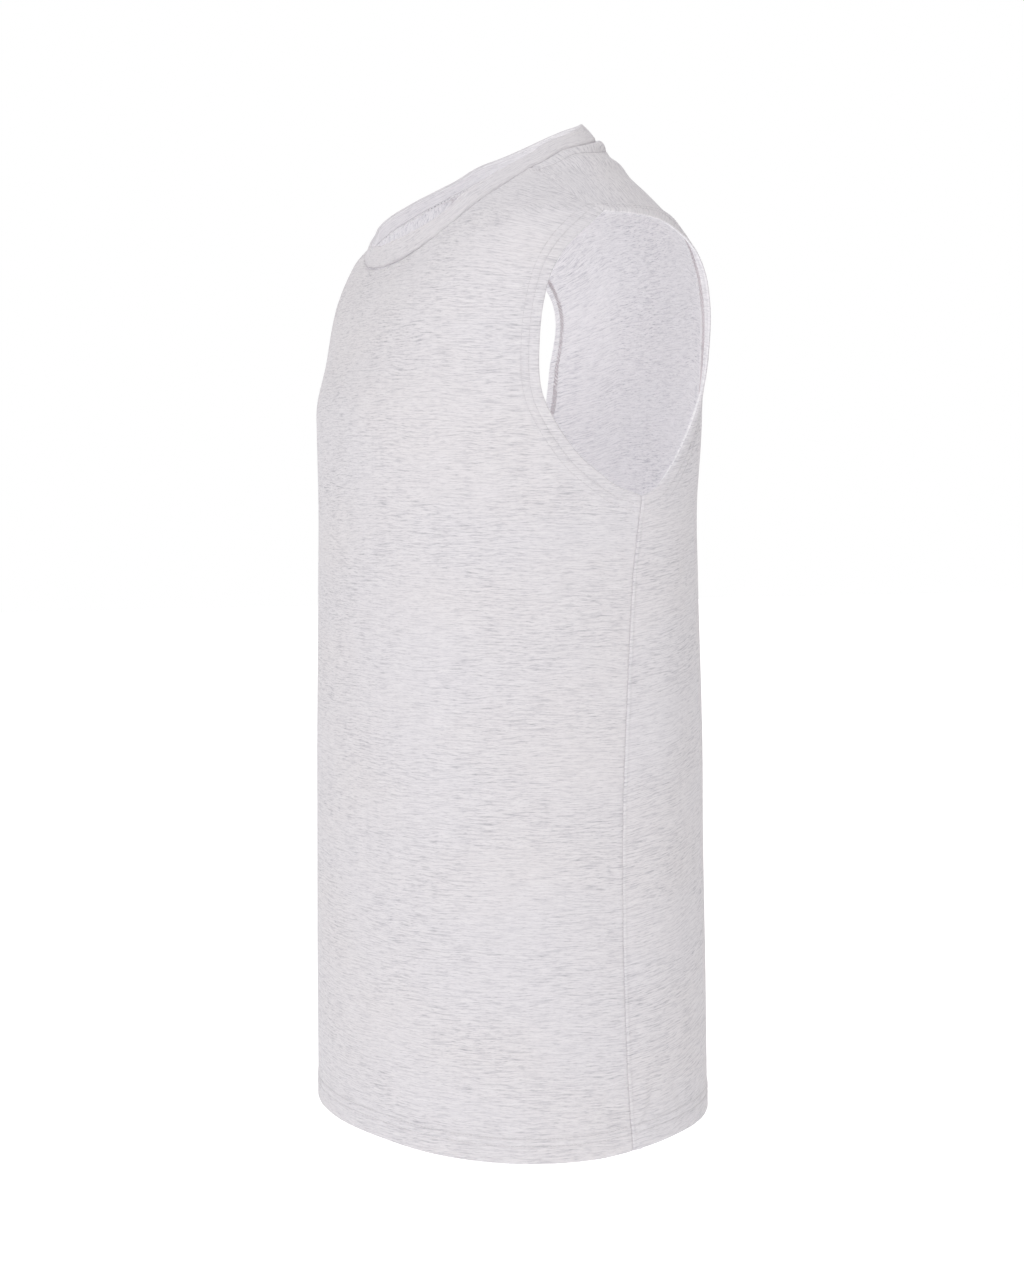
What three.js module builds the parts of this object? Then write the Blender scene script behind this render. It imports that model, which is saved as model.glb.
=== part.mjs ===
// A sleeveless jersey top in its worn, hollow shape, in millimetres.
// +Z is up, +X is the wearer's left and -Y is the front. The origin lies on the centre plane,
// level with the shoulder ridge beside the neck, where the wearer's shoulders carry the cloth.
// Three sewn pieces: a front panel, a back panel and a folded neckband.
import * as THREE from "three";

// Driving sizes
const CLOTH_THICKNESS = 1.2; // single jersey, drawn a little full so that it has a wall
const TURNED_THICKNESS = 2.2; // where the hem or the armhole edge is turned in
const HEM_DEPTH = 19; // height of the turned hem
const ARMHOLE_TURNING = 13.5; // depth of the turned armhole edge
const TURNING_EASE = 4; // the turned thickness fades out over this distance
const SEAM_GAP = 0.3; // clear space between two sewn pieces
const BAND_WIDTH = 16.5; // neckband, seam to fold
const BAND_THICKNESS = 2.3; // two layers of rib with their allowances
const BAND_CROWN = 0.5; // how far the band's face swells between seam and fold

// Colours of the grey heather cloth
const FRONT_COLOUR = new THREE.Color(0.8, 0.785, 0.8);
const BACK_COLOUR = new THREE.Color(0.76, 0.75, 0.765);
const BAND_COLOUR = new THREE.Color(0.79, 0.775, 0.79);
const CLOTH_ROUGHNESS = 0.9;
const CLOTH_METALNESS = 0;

// Level sections of the worn body. ridgeY is where the side line lies, front to back.
// Squareness 2 is an ellipse, and more is boxier.
const SECTION_COLUMNS = [
  "height", "halfWidth", "ridgeY", "frontDepth", "backDepth", "frontSquareness", "backSquareness",
];
const SECTIONS = named(SECTION_COLUMNS, [
  [-720, 173, 38, 174, 114, 2.1, 2.1],
  [-620, 172, 36, 172, 113.5, 2.1, 2.1],
  [-460, 170, 33, 168.5, 113, 2.1, 2.1],
  [-300, 171, 37, 170.5, 100.5, 2.15, 2.2],
  [-239, 172, 39, 171.5, 93.5, 2.2, 2.35],
  [-180, 176, 38, 169.5, 94.5, 2.35, 2.55],
  [-140, 179, 36, 156, 98.5, 2.6, 2.6],
  [-100, 183, 33, 140.5, 101.3, 3, 2.45],
  [-72, 185, 30.5, 122, 99, 3.6, 2.3],
  [-57, 185.5, 29, 109.8, 96, 3.9, 2.15],
  [-45, 184, 28, 99, 91, 3.7, 2],
  [-33, 163.5, 29.5, 90, 79.5, 3.35, 1.95],
  [-20, 140, 31, 79.5, 69.5, 2.8, 1.95],
  [-7, 114, 32, 68.8, 61, 2.4, 1.95],
  [3, 100, 31, 60, 57, 2.1, 2],
  [10.5, 86, 28, 57, 54, 2, 2],
  [17, 76, 28, 55, 52, 2, 2],
  [22, 66, 28, 55, 50, 2, 2],
  [28, 50, 28, 55, 47, 2, 2],
]);

// Edges and seams on the wearer's left half. angle is -90 at the front centre line, 0 at the
// side and 90 at the back centre line.
const EDGE_COLUMNS = ["angle", "height"];
const FRONT_NECKLINE = named(EDGE_COLUMNS, [
  [-90, -71.5], [-78, -68.5], [-71, -63.5], [-65.5, -56.5], [-61.3, -47.5], [-57.3, -38],
  [-53, -29], [-47.8, -20], [-42, -12], [-35, -4.5],
]);
const BACK_NECKLINE = named(EDGE_COLUMNS, [
  [90, 28], [68.4, 27.3], [50, 24.6], [29, 19.4], [13, 15.4], [-0.3, 12.3], [-10, 9.2],
  [-22.5, 3.8], [-35, -4.5],
]);
const SHOULDER_SEAM = named(EDGE_COLUMNS, [
  [-35, -4.5], [-31, -8], [-27, -14.5], [-23.3, -22], [-19.3, -29.5], [-14.8, -37], [-9.4, -44.7],
]);
const FRONT_ARMHOLE = named(EDGE_COLUMNS, [
  [4.4, -239.5], [-2.5, -234.5], [-8.4, -222.7], [-12.9, -211.6], [-16.8, -197], [-20, -181.6],
  [-22.2, -167], [-23.6, -149], [-24.3, -125], [-24.2, -105], [-23.4, -85], [-21.3, -71],
  [-17.8, -60.5], [-13.6, -52], [-9.4, -44.7],
]);
const BACK_ARMHOLE = named(EDGE_COLUMNS, [
  [4.4, -239.5], [11, -234.5], [18.8, -221.5], [26, -205], [32, -189], [34.4, -178], [35.8, -165],
  [36.4, -150], [37.2, -135], [38.8, -120], [40.2, -105], [40.6, -90], [39.5, -76], [36, -63],
  [29, -54], [21, -49], [14, -47], [7, -46], [0.3, -45.3], [-9.4, -44.7],
]);
const SIDE_SEAM = named(EDGE_COLUMNS, [
  [1.7, -706.5], [0.3, -649], [-0.2, -571], [0.4, -470], [1.1, -400], [1.8, -301], [3.1, -268],
  [4.4, -239.5],
]);
const FRONT_HEM = named(EDGE_COLUMNS, [
  [-90, -705], [-65, -706], [-45, -710.5], [-25, -712.5], [-8, -710.5], [1.7, -706.5],
]);
const BACK_HEM = named(EDGE_COLUMNS, [
  [90, -700], [60, -700], [40, -699.5], [22, -701], [10, -704], [1.7, -706.5],
]);

// How far the neckband leans inwards from upright, from the front centre (0) to the back (1)
const LEAN_COLUMNS = ["along", "lean"];
const BAND_LEAN = named(LEAN_COLUMNS, [
  [0, -1], [0.1, 0], [0.17, 7], [0.25, 20], [0.33, 38], [0.42, 56], [0.5, 66], [0.58, 68],
  [0.67, 63], [0.75, 55], [0.83, 47], [0.92, 41], [1, 39],
]);

// Mesh density
const ROWS_TO_UNDERARM = 12;
const FRONT_CHEST_ROWS = 8;
const FRONT_NECK_ROWS = 14;
const BACK_CHEST_ROWS = 14;
const BACK_NECK_ROWS = 8;
const FRONT_ARMHOLE_AT_NECK = 0.5; // share of the armhole passed where the front neckline starts
const BACK_ARMHOLE_AT_NECK = 0.74; // and where the back neckline starts
const COLUMNS = [0, 0.08, 0.16, 0.24, 0.32, 0.4, 0.48, 0.56, 0.64, 0.72, 0.8, 0.87, 0.93, 0.965, 1];
const TRACK_SAMPLES = 240;

function named(columns, rows) {
  return rows.map((row) => Object.fromEntries(columns.map((name, i) => [name, row[i]])));
}

// A smooth line through (x, y) pairs that never overshoots them
function smoothLine(xs, ys) {
  const count = xs.length;
  const gap = xs.slice(1).map((x, i) => x - xs[i]);
  const rise = gap.map((h, i) => (ys[i + 1] - ys[i]) / h);
  const slope = new Array(count).fill(0);
  for (let i = 1; i < count - 1; i++) {
    if (rise[i - 1] * rise[i] > 0) {
      const a = 2 * gap[i] + gap[i - 1];
      const b = gap[i] + 2 * gap[i - 1];
      slope[i] = (a + b) / (a / rise[i - 1] + b / rise[i]);
    }
  }
  slope[0] = rise[0];
  slope[count - 1] = rise[count - 2];
  return (x) => {
    let i = 0;
    while (i < count - 2 && x > xs[i + 1]) i++;
    const t = (x - xs[i]) / gap[i];
    const t2 = t * t;
    const t3 = t2 * t;
    return (
      (2 * t3 - 3 * t2 + 1) * ys[i] +
      (t3 - 2 * t2 + t) * gap[i] * slope[i] +
      (3 * t2 - 2 * t3) * ys[i + 1] +
      (t3 - t2) * gap[i] * slope[i + 1]
    );
  };
}

const sectionHeights = SECTIONS.map((row) => row.height);
const section = Object.fromEntries(
  SECTION_COLUMNS.slice(1).map((name) => [
    name,
    smoothLine(sectionHeights, SECTIONS.map((row) => row[name])),
  ]),
);

// The outer face of the worn cloth, on the wearer's left half
function formPoint(angle, height) {
  const turn = THREE.MathUtils.degToRad(angle);
  const across = Math.cos(turn);
  const along = Math.sin(turn);
  const front = along < 0;
  const depth = front ? section.frontDepth(height) : section.backDepth(height);
  const power = front ? section.frontSquareness(height) : section.backSquareness(height);
  const reach = (Math.abs(across) ** power + Math.abs(along) ** power) ** (-1 / power);
  return new THREE.Vector3(
    section.halfWidth(height) * reach * across,
    section.ridgeY(height) + depth * reach * along,
    height,
  );
}

function formNormal(angle, height) {
  const step = 0.4;
  const round = formPoint(angle + step, height).sub(formPoint(angle - step, height));
  const up = formPoint(angle, height + step).sub(formPoint(angle, height - step));
  return round.cross(up).normalize();
}

// A smooth line on the form through table rows, read by its share of real length
function track(rows) {
  const points = rows.map((row) => formPoint(row.angle, row.height));
  const lengths = [0];
  for (let i = 1; i < points.length; i++) {
    lengths.push(lengths[i - 1] + points[i].distanceTo(points[i - 1]));
  }
  const slopes = rows.map((row, i) => {
    const before = Math.max(i - 1, 0);
    const after = Math.min(i + 1, rows.length - 1);
    const span = lengths[after] - lengths[before];
    return {
      angle: (rows[after].angle - rows[before].angle) / span,
      height: (rows[after].height - rows[before].height) / span,
    };
  });
  const at = (length, name) => {
    let i = 0;
    while (i < rows.length - 2 && length > lengths[i + 1]) i++;
    const h = lengths[i + 1] - lengths[i];
    const t = (length - lengths[i]) / h;
    const t2 = t * t;
    const t3 = t2 * t;
    return (
      (2 * t3 - 3 * t2 + 1) * rows[i][name] +
      (t3 - 2 * t2 + t) * h * slopes[i][name] +
      (3 * t2 - 2 * t3) * rows[i + 1][name] +
      (t3 - t2) * h * slopes[i + 1][name]
    );
  };
  const total = lengths[lengths.length - 1];
  const samples = [];
  let run = 0;
  let last = null;
  for (let i = 0; i <= TRACK_SAMPLES; i++) {
    const length = (total * i) / TRACK_SAMPLES;
    const angle = at(length, "angle");
    const height = at(length, "height");
    const point = formPoint(angle, height);
    if (last) run += point.distanceTo(last);
    last = point;
    samples.push({ angle, height, run, point });
  }
  return {
    length: run,
    points: samples.map((sample) => sample.point),
    at(share) {
      const goal = share * run;
      let i = 0;
      while (i < TRACK_SAMPLES - 1 && samples[i + 1].run < goal) i++;
      const a = samples[i];
      const b = samples[i + 1];
      const t = (goal - a.run) / (b.run - a.run);
      return {
        angle: THREE.MathUtils.lerp(a.angle, b.angle, t),
        height: THREE.MathUtils.lerp(a.height, b.height, t),
      };
    },
  };
}

// Shares of the side seam at which rows lie: closer together in the turned hem
function bodyShares(length) {
  const inHem = [0, HEM_DEPTH * 0.5, HEM_DEPTH, HEM_DEPTH + TURNING_EASE].map((d) => d / length);
  const start = inHem[inHem.length - 1];
  const rest = ROWS_TO_UNDERARM - inHem.length + 1;
  const above = Array.from({ length: rest }, (_, i) => start + ((1 - start) * (i + 1)) / rest);
  return [...inHem, ...above];
}

// Half a panel as rows of {angle, height}, blended between its four edges
function halfPanel({ centreAngle, hem, neckline, armhole, armholeAtNeck, chestRows, neckRows }) {
  const sideTrack = track(SIDE_SEAM);
  const hemTrack = track(hem);
  const neckTrack = track(neckline);
  const armholeTrack = track(armhole);
  const shoulderTrack = track(SHOULDER_SEAM);
  const underarm = SIDE_SEAM[SIDE_SEAM.length - 1].height;
  const hemHeight = hem[0].height;
  const neckHeight = neckline[0].height;
  const left = [];
  const right = [];
  for (const share of bodyShares(sideTrack.length)) {
    left.push({ angle: centreAngle, height: THREE.MathUtils.lerp(hemHeight, underarm, share) });
    right.push(sideTrack.at(share));
  }
  for (let i = 1; i <= chestRows; i++) {
    const share = i / chestRows;
    left.push({ angle: centreAngle, height: THREE.MathUtils.lerp(underarm, neckHeight, share) });
    right.push(armholeTrack.at(share * armholeAtNeck));
  }
  for (let i = 1; i <= neckRows; i++) {
    const share = i / neckRows;
    left.push(neckTrack.at(share));
    right.push(armholeTrack.at(armholeAtNeck + share * (1 - armholeAtNeck)));
  }
  const top = left.length - 1;
  const blend = (s, t, edges) =>
    (1 - s) * edges.left + s * edges.right + (1 - t) * edges.bottom + t * edges.top -
    (1 - s) * (1 - t) * edges.lowLeft - s * (1 - t) * edges.lowRight -
    (1 - s) * t * edges.highLeft - s * t * edges.highRight;
  const rows = left.map((_, j) =>
    COLUMNS.map((s) => {
      const t = j / top;
      const low = hemTrack.at(s);
      const high = shoulderTrack.at(s);
      const pick = (name) =>
        blend(s, t, {
          left: left[j][name],
          right: right[j][name],
          bottom: low[name],
          top: high[name],
          lowLeft: left[0][name],
          lowRight: right[0][name],
          highLeft: left[top][name],
          highRight: right[top][name],
        });
      return { angle: pick("angle"), height: pick("height") };
    }),
  );
  return { rows, armholePoints: armholeTrack.points, hemTrack };
}

// How much of the turned thickness a point has, from 1 in the turning to 0 beyond it
function turned(distance, depth) {
  return 1 - THREE.MathUtils.smoothstep(distance, depth - TURNING_EASE / 2, depth + TURNING_EASE);
}

// A panel's wall: its outer face on the form, its inner face one cloth thickness inside
function panelGeometry(spec) {
  const { rows, armholePoints } = halfPanel(spec);
  const sideRows = ROWS_TO_UNDERARM;
  const top = rows.length - 1;
  const last = COLUMNS.length - 1;
  const cells = rows.map((row) =>
    row.map(({ angle, height }) => {
      const point = formPoint(angle, height);
      const normal = formNormal(angle, height);
      const toArmhole = Math.min(...armholePoints.map((p) => p.distanceTo(point)));
      const hemHeight = spec.hem[0].height;
      const share = Math.max(
        turned(toArmhole, ARMHOLE_TURNING),
        turned(height - hemHeight, HEM_DEPTH),
      );
      const thick = THREE.MathUtils.lerp(CLOTH_THICKNESS, TURNED_THICKNESS, share);
      return { point, normal, thick };
    }),
  );
  // Draw the sewn edges back by half the seam gap
  const drawBack = (cell, inward) => {
    const pull = inward.point.clone().sub(cell.point).setLength(SEAM_GAP * 0.6);
    cell.moved = (cell.moved || new THREE.Vector3()).add(pull);
  };
  for (let j = 0; j <= sideRows; j++) drawBack(cells[j][last], cells[j][last - 1]);
  for (let i = 0; i <= last; i++) drawBack(cells[top][i], cells[top - 1][i]);
  // The two halves share the centre line up to the neckline, where they part
  const neckRow = top - spec.neckRows;
  const outer = [];
  const inner = [];
  const lookup = { 1: [], "-1": [] };
  for (const side of [1, -1]) {
    cells.forEach((row, j) => {
      lookup[side].push(
        row.map((cell, i) => {
          const onCentre = i === 0 && j <= neckRow;
          if (onCentre && side < 0) return lookup[1][j][0];
          const face = cell.point.clone().add(cell.moved || new THREE.Vector3());
          const back = face.clone().addScaledVector(cell.normal, -cell.thick);
          if (onCentre) {
            face.x = 0;
            back.x = 0;
          }
          outer.push(new THREE.Vector3(side * face.x, face.y, face.z));
          inner.push(new THREE.Vector3(side * back.x, back.y, back.z));
          return outer.length - 1;
        }),
      );
    });
  }
  const faces = [];
  const inside = outer.length;
  const quad = (a, b, c, d) => faces.push([a, b, c], [a, c, d]);
  const both = (side, a, b, c, d) => {
    const loop = side > 0 ? [a, b, c, d] : [d, c, b, a];
    quad(...loop);
    quad(...[...loop].reverse().map((k) => k + inside));
  };
  for (const side of [1, -1]) {
    const at = lookup[side];
    for (let j = 0; j < top; j++) {
      for (let i = 0; i < last; i++) both(side, at[j][i], at[j][i + 1], at[j + 1][i + 1], at[j + 1][i]);
    }
  }
  // One rim closes the hem, sides, armholes, shoulders and neckline
  const half = (side) => {
    const at = lookup[side];
    const path = [];
    for (let i = 0; i < last; i++) path.push(at[0][i]);
    for (let j = 0; j < top; j++) path.push(at[j][last]);
    for (let i = last; i > 0; i--) path.push(at[top][i]);
    for (let j = top; j >= neckRow; j--) path.push(at[j][0]);
    return path;
  };
  const rim = [...half(1), ...half(-1).reverse().slice(1, -1)];
  rim.forEach((a, k) => {
    const b = rim[(k + 1) % rim.length];
    quad(a, inside + a, inside + b, b);
  });
  return solidGeometry([...outer, ...inner], faces);
}

// An indexed geometry that faces outwards
function solidGeometry(points, faces) {
  let volume = 0;
  for (const [a, b, c] of faces) {
    volume += points[a].dot(points[b].clone().cross(points[c]));
  }
  const index = faces.flatMap(([a, b, c]) => (volume < 0 ? [a, c, b] : [a, b, c]));
  const geometry = new THREE.BufferGeometry().setFromPoints(points);
  geometry.setIndex(index);
  geometry.computeVertexNormals();
  return geometry;
}

// The neckband: a folded strip that starts at the neckline seam and leans over the opening
function neckbandGeometry() {
  const front = track(FRONT_NECKLINE);
  const back = track(BACK_NECKLINE);
  const spots = [];
  for (let i = 0; i < FRONT_NECK_ROWS; i++) {
    const share = i / FRONT_NECK_ROWS;
    spots.push({ ...front.at(share), run: share * front.length });
  }
  for (let i = BACK_NECK_ROWS; i >= 0; i--) {
    const share = i / BACK_NECK_ROWS;
    spots.push({ ...back.at(share), run: front.length + (1 - share) * back.length });
  }
  const half = front.length + back.length;
  const lean = smoothLine(BAND_LEAN.map((row) => row.along), BAND_LEAN.map((row) => row.lean));
  const left = spots.map((spot) => ({ point: formPoint(spot.angle, spot.height), along: spot.run / half }));
  const right = left.slice(1, -1).reverse().map(({ point, along }) => ({
    point: new THREE.Vector3(-point.x, point.y, point.z),
    along,
  }));
  const loop = [...left, ...right];
  const inset = BAND_THICKNESS / 2;
  const sectionPoints = named(["rise", "depth"], [
    [SEAM_GAP, 0],
    [BAND_WIDTH * 0.3, -BAND_CROWN * 0.8],
    [BAND_WIDTH * 0.65, -BAND_CROWN],
    [BAND_WIDTH - 0.8, 0.1],
    [BAND_WIDTH, inset],
    [BAND_WIDTH - 0.8, BAND_THICKNESS - 0.1],
    [BAND_WIDTH * 0.5, BAND_THICKNESS + BAND_CROWN * 0.4],
    [SEAM_GAP + 2.2, BAND_THICKNESS],
    [SEAM_GAP + 0.7, CLOTH_THICKNESS],
  ]);
  const points = [];
  loop.forEach(({ point, along }, k) => {
    const before = loop[(k + loop.length - 1) % loop.length].point;
    const after = loop[(k + 1) % loop.length].point;
    const tangent = after.clone().sub(before).normalize();
    const inward = new THREE.Vector3(0, 0, 1).cross(tangent).normalize();
    const upright = tangent.clone().cross(inward).normalize();
    const tilt = THREE.MathUtils.degToRad(lean(along));
    const rising = upright.clone().multiplyScalar(Math.cos(tilt)).addScaledVector(inward, Math.sin(tilt));
    const deep = inward.clone().multiplyScalar(Math.cos(tilt)).addScaledVector(upright, -Math.sin(tilt));
    for (const { rise, depth } of sectionPoints) {
      points.push(point.clone().addScaledVector(rising, rise).addScaledVector(deep, depth));
    }
  });
  const ring = sectionPoints.length;
  const faces = [];
  loop.forEach((_, k) => {
    const next = (k + 1) % loop.length;
    for (let i = 0; i < ring; i++) {
      const up = (i + 1) % ring;
      faces.push([k * ring + i, next * ring + i, next * ring + up]);
      faces.push([k * ring + i, next * ring + up, k * ring + up]);
    }
  });
  return solidGeometry(points, faces);
}

function piece(name, geometry, colour) {
  const material = new THREE.MeshStandardMaterial({
    color: colour,
    roughness: CLOTH_ROUGHNESS,
    metalness: CLOTH_METALNESS,
  });
  const mesh = new THREE.Mesh(geometry, material);
  mesh.name = name;
  return mesh;
}

const top = new THREE.Group();
top.name = "tank_top";
top.add(
  piece(
    "front_panel",
    panelGeometry({
      centreAngle: -90,
      hem: FRONT_HEM,
      neckline: FRONT_NECKLINE,
      armhole: FRONT_ARMHOLE,
      armholeAtNeck: FRONT_ARMHOLE_AT_NECK,
      chestRows: FRONT_CHEST_ROWS,
      neckRows: FRONT_NECK_ROWS,
    }),
    FRONT_COLOUR,
  ),
  piece(
    "back_panel",
    panelGeometry({
      centreAngle: 90,
      hem: BACK_HEM,
      neckline: BACK_NECKLINE,
      armhole: BACK_ARMHOLE,
      armholeAtNeck: BACK_ARMHOLE_AT_NECK,
      chestRows: BACK_CHEST_ROWS,
      neckRows: BACK_NECK_ROWS,
    }),
    BACK_COLOUR,
  ),
  piece("neckband", neckbandGeometry(), BAND_COLOUR),
);
export default top;
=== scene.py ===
"""Dresses a sleeveless jersey top in knitted heather cloth, seams and stitching."""

import math

import bpy
import numpy as np
from bpy.props import FloatProperty, FloatVectorProperty, IntProperty, PointerProperty
from mathutils import Matrix, Vector
from mathutils.bvhtree import BVHTree


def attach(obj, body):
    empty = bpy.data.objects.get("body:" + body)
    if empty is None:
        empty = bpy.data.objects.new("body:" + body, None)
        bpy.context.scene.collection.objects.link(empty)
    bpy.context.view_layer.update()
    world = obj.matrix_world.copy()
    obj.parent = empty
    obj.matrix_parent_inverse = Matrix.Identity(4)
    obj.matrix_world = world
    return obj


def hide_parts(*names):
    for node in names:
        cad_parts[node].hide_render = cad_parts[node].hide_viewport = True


bl_info = {
    "name": "Sleeveless Jersey Top",
    "version": (1, 0, 0),
    "blender": (4, 5, 0),
    "location": "View3D > Sidebar > Jersey Top",
    "description": "Builds a worn sleeveless jersey top from its panels, neckband and stitching",
    "category": "Object",
}

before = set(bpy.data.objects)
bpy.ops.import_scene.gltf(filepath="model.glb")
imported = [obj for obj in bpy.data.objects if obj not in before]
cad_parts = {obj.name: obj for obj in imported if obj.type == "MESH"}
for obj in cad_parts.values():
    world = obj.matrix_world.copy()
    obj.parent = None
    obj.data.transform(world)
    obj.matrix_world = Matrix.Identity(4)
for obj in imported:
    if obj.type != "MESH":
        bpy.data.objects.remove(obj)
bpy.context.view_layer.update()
MM = 0.001
TINY = 1e-9
UP = np.array([0, 0, 1.0])
MIRROR = np.array([-1, 1, 1])

# Level sections of the worn body in millimetres. ridge_y is the side line, front to back.
SECTION_COLUMNS = (
    "height", "half_width", "ridge_y", "front_depth", "back_depth", "front_square", "back_square",
)
SECTIONS = (
    (-720, 173, 38, 174, 114, 2.1, 2.1),
    (-620, 172, 36, 172, 113.5, 2.1, 2.1),
    (-460, 170, 33, 168.5, 113, 2.1, 2.1),
    (-300, 171, 37, 170.5, 100.5, 2.15, 2.2),
    (-239, 172, 39, 171.5, 93.5, 2.2, 2.35),
    (-180, 176, 38, 169.5, 94.5, 2.35, 2.55),
    (-140, 179, 36, 156, 98.5, 2.6, 2.6),
    (-100, 183, 33, 140.5, 101.3, 3, 2.45),
    (-72, 185, 30.5, 122, 99, 3.6, 2.3),
    (-57, 185.5, 29, 109.8, 96, 3.9, 2.15),
    (-45, 184, 28, 99, 91, 3.7, 2),
    (-33, 163.5, 29.5, 90, 79.5, 3.35, 1.95),
    (-20, 140, 31, 79.5, 69.5, 2.8, 1.95),
    (-7, 114, 32, 68.8, 61, 2.4, 1.95),
    (3, 100, 31, 60, 57, 2.1, 2),
    (10.5, 86, 28, 57, 54, 2, 2),
    (17, 76, 28, 55, 52, 2, 2),
    (22, 66, 28, 55, 50, 2, 2),
    (28, 50, 28, 55, 47, 2, 2),
)

# Edges and seams of the wearer's left half as (angle, height). The angle is -90 at the front
# centre line, 0 at the side and 90 at the back centre line.
FRONT_NECKLINE = (
    (-90, -71.5), (-78, -68.5), (-71, -63.5), (-65.5, -56.5), (-61.3, -47.5), (-57.3, -38),
    (-53, -29), (-47.8, -20), (-42, -12), (-35, -4.5),
)
BACK_NECKLINE = (
    (90, 28), (68.4, 27.3), (50, 24.6), (29, 19.4), (13, 15.4), (-0.3, 12.3), (-10, 9.2),
    (-22.5, 3.8), (-35, -4.5),
)
SHOULDER_SEAM = (
    (-35, -4.5), (-31, -8), (-27, -14.5), (-23.3, -22), (-19.3, -29.5), (-14.8, -37),
    (-9.4, -44.7),
)
FRONT_ARMHOLE = (
    (4.4, -239.5), (-2.5, -234.5), (-8.4, -222.7), (-12.9, -211.6), (-16.8, -197), (-20, -181.6),
    (-22.2, -167), (-23.6, -149), (-24.3, -125), (-24.2, -105), (-23.4, -85), (-21.3, -71),
    (-17.8, -60.5), (-13.6, -52), (-9.4, -44.7),
)
BACK_ARMHOLE = (
    (4.4, -239.5), (11, -234.5), (18.8, -221.5), (26, -205), (32, -189), (34.4, -178),
    (35.8, -165), (36.4, -150), (37.2, -135), (38.8, -120), (40.2, -105), (40.6, -90),
    (39.5, -76), (36, -63), (29, -54), (21, -49), (14, -47), (7, -46), (0.3, -45.3), (-9.4, -44.7),
)
SIDE_SEAM = (
    (1.7, -706.5), (0.3, -649), (-0.2, -571), (0.4, -470), (1.1, -400), (1.8, -301), (3.1, -268),
    (4.4, -239.5),
)
FRONT_HEM = ((-90, -705), (-65, -706), (-45, -710.5), (-25, -712.5), (-8, -710.5), (1.7, -706.5))
BACK_HEM = ((90, -700), (60, -700), (40, -699.5), (22, -701), (10, -704), (1.7, -706.5))

# How far the neckband leans inwards in degrees, from the front centre (0) to the back (1)
BAND_LEAN = (
    (0, -1), (0.1, 0), (0.17, 7), (0.25, 20), (0.33, 38), (0.42, 56), (0.5, 66), (0.58, 68),
    (0.67, 63), (0.75, 55), (0.83, 47), (0.92, 41), (1, 39),
)

# How far the neckband's directions are evened out along the neckline, in millimetres
LEAN_REACH = 20.0
TANGENT_REACH = 9.0

# Creases on each panel. across and up place the middle on the flat cut in millimetres,
# turn is the direction in degrees, rise is positive for a ridge and negative for a trough.
CREASE_COLUMNS = ("across", "up", "turn", "half_length", "half_width", "rise", "bend")
FRONT_CREASES = (
    (-150, 330, 86, 170, 24, 0.9, 0.0004),
    (-92, 250, 93, 220, 30, -1.0, -0.0003),
    (-30, 180, 88, 150, 34, 0.8, 0.0002),
    (62, 215, 91, 190, 32, -0.8, 0.0003),
    (128, 300, 87, 210, 27, 0.9, -0.0004),
    (196, 240, 92, 160, 22, -0.8, 0.0003),
    (232, 392, 96, 34, 4.5, -0.7, 0.002),
    (238, 356, 100, 26, 4, 0.5, -0.002),
    (-228, 380, 84, 42, 5, -0.7, -0.002),
    (246, 16, 48, 14, 2.8, 1.7, 0.01),
    (252, 24, 62, 16, 2.6, -1.5, -0.008),
    (-248, 18, 128, 15, 2.8, 1.4, 0.006),
    (150, 452, 20, 36, 7, -0.5, 0.001),
    (-156, 448, 162, 40, 8, -0.5, 0.001),
    (96, 560, 28, 26, 6, 0.5, 0.004),
    (-104, 556, 148, 30, 7, 0.5, -0.004),
)
BACK_CREASES = (
    (-168, 260, 94, 190, 22, 1.1, 0.0003),
    (-128, 330, 88, 240, 26, -1.2, -0.0002),
    (-60, 210, 91, 170, 34, 0.9, 0.0003),
    (24, 300, 87, 230, 36, -0.9, 0.0002),
    (96, 220, 92, 180, 28, 1.0, -0.0003),
    (150, 340, 88, 230, 20, -1.2, 0.0003),
    (186, 260, 93, 210, 17, 1.2, 0.0002),
    (176, 24, 66, 22, 5, -1.2, 0.006),
    (216, 20, 120, 15, 2.8, 1.7, 0.01),
    (208, 27, 112, 18, 3.0, -1.6, 0.01),
    (-214, 22, 60, 16, 2.8, 1.3, -0.008),
    (40, 545, 12, 52, 11, -0.8, 0.003),
    (-46, 532, 170, 60, 12, -0.8, 0.003),
    (118, 590, 64, 26, 7, 0.6, 0.006),
    (-124, 586, 116, 28, 7, 0.6, -0.006),
)


def named(columns, rows):
    """Table rows as dictionaries."""
    return [dict(zip(columns, row)) for row in rows]


def cubic_shares(t):
    """What the start, its slope, the end and its slope add to a cubic between two values."""
    return 2 * t**3 - 3 * t**2 + 1, t**3 - 2 * t**2 + t, 3 * t**2 - 2 * t**3, t**3 - t**2


def smooth_line(xs, ys):
    """A smooth line through pairs that never overshoots them, read at an array of places."""
    xs = np.asarray(xs, float)
    ys = np.asarray(ys, float)
    gap = np.diff(xs)
    rise = np.diff(ys) / gap
    slope = np.zeros(len(xs))
    for i in range(1, len(xs) - 1):
        if rise[i - 1] * rise[i] > 0:
            a = 2 * gap[i] + gap[i - 1]
            b = gap[i] + 2 * gap[i - 1]
            slope[i] = (a + b) / (a / rise[i - 1] + b / rise[i])
    slope[0] = rise[0]
    slope[-1] = rise[-1]

    def read(x):
        x = np.asarray(x, float)
        i = np.clip(np.searchsorted(xs, x, side="left") - 1, 0, len(xs) - 2)
        a, b, c, d = cubic_shares((x - xs[i]) / gap[i])
        low = a * ys[i] + b * gap[i] * slope[i]
        high = c * ys[i + 1] + d * gap[i] * slope[i + 1]
        return low + high

    return read


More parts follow.
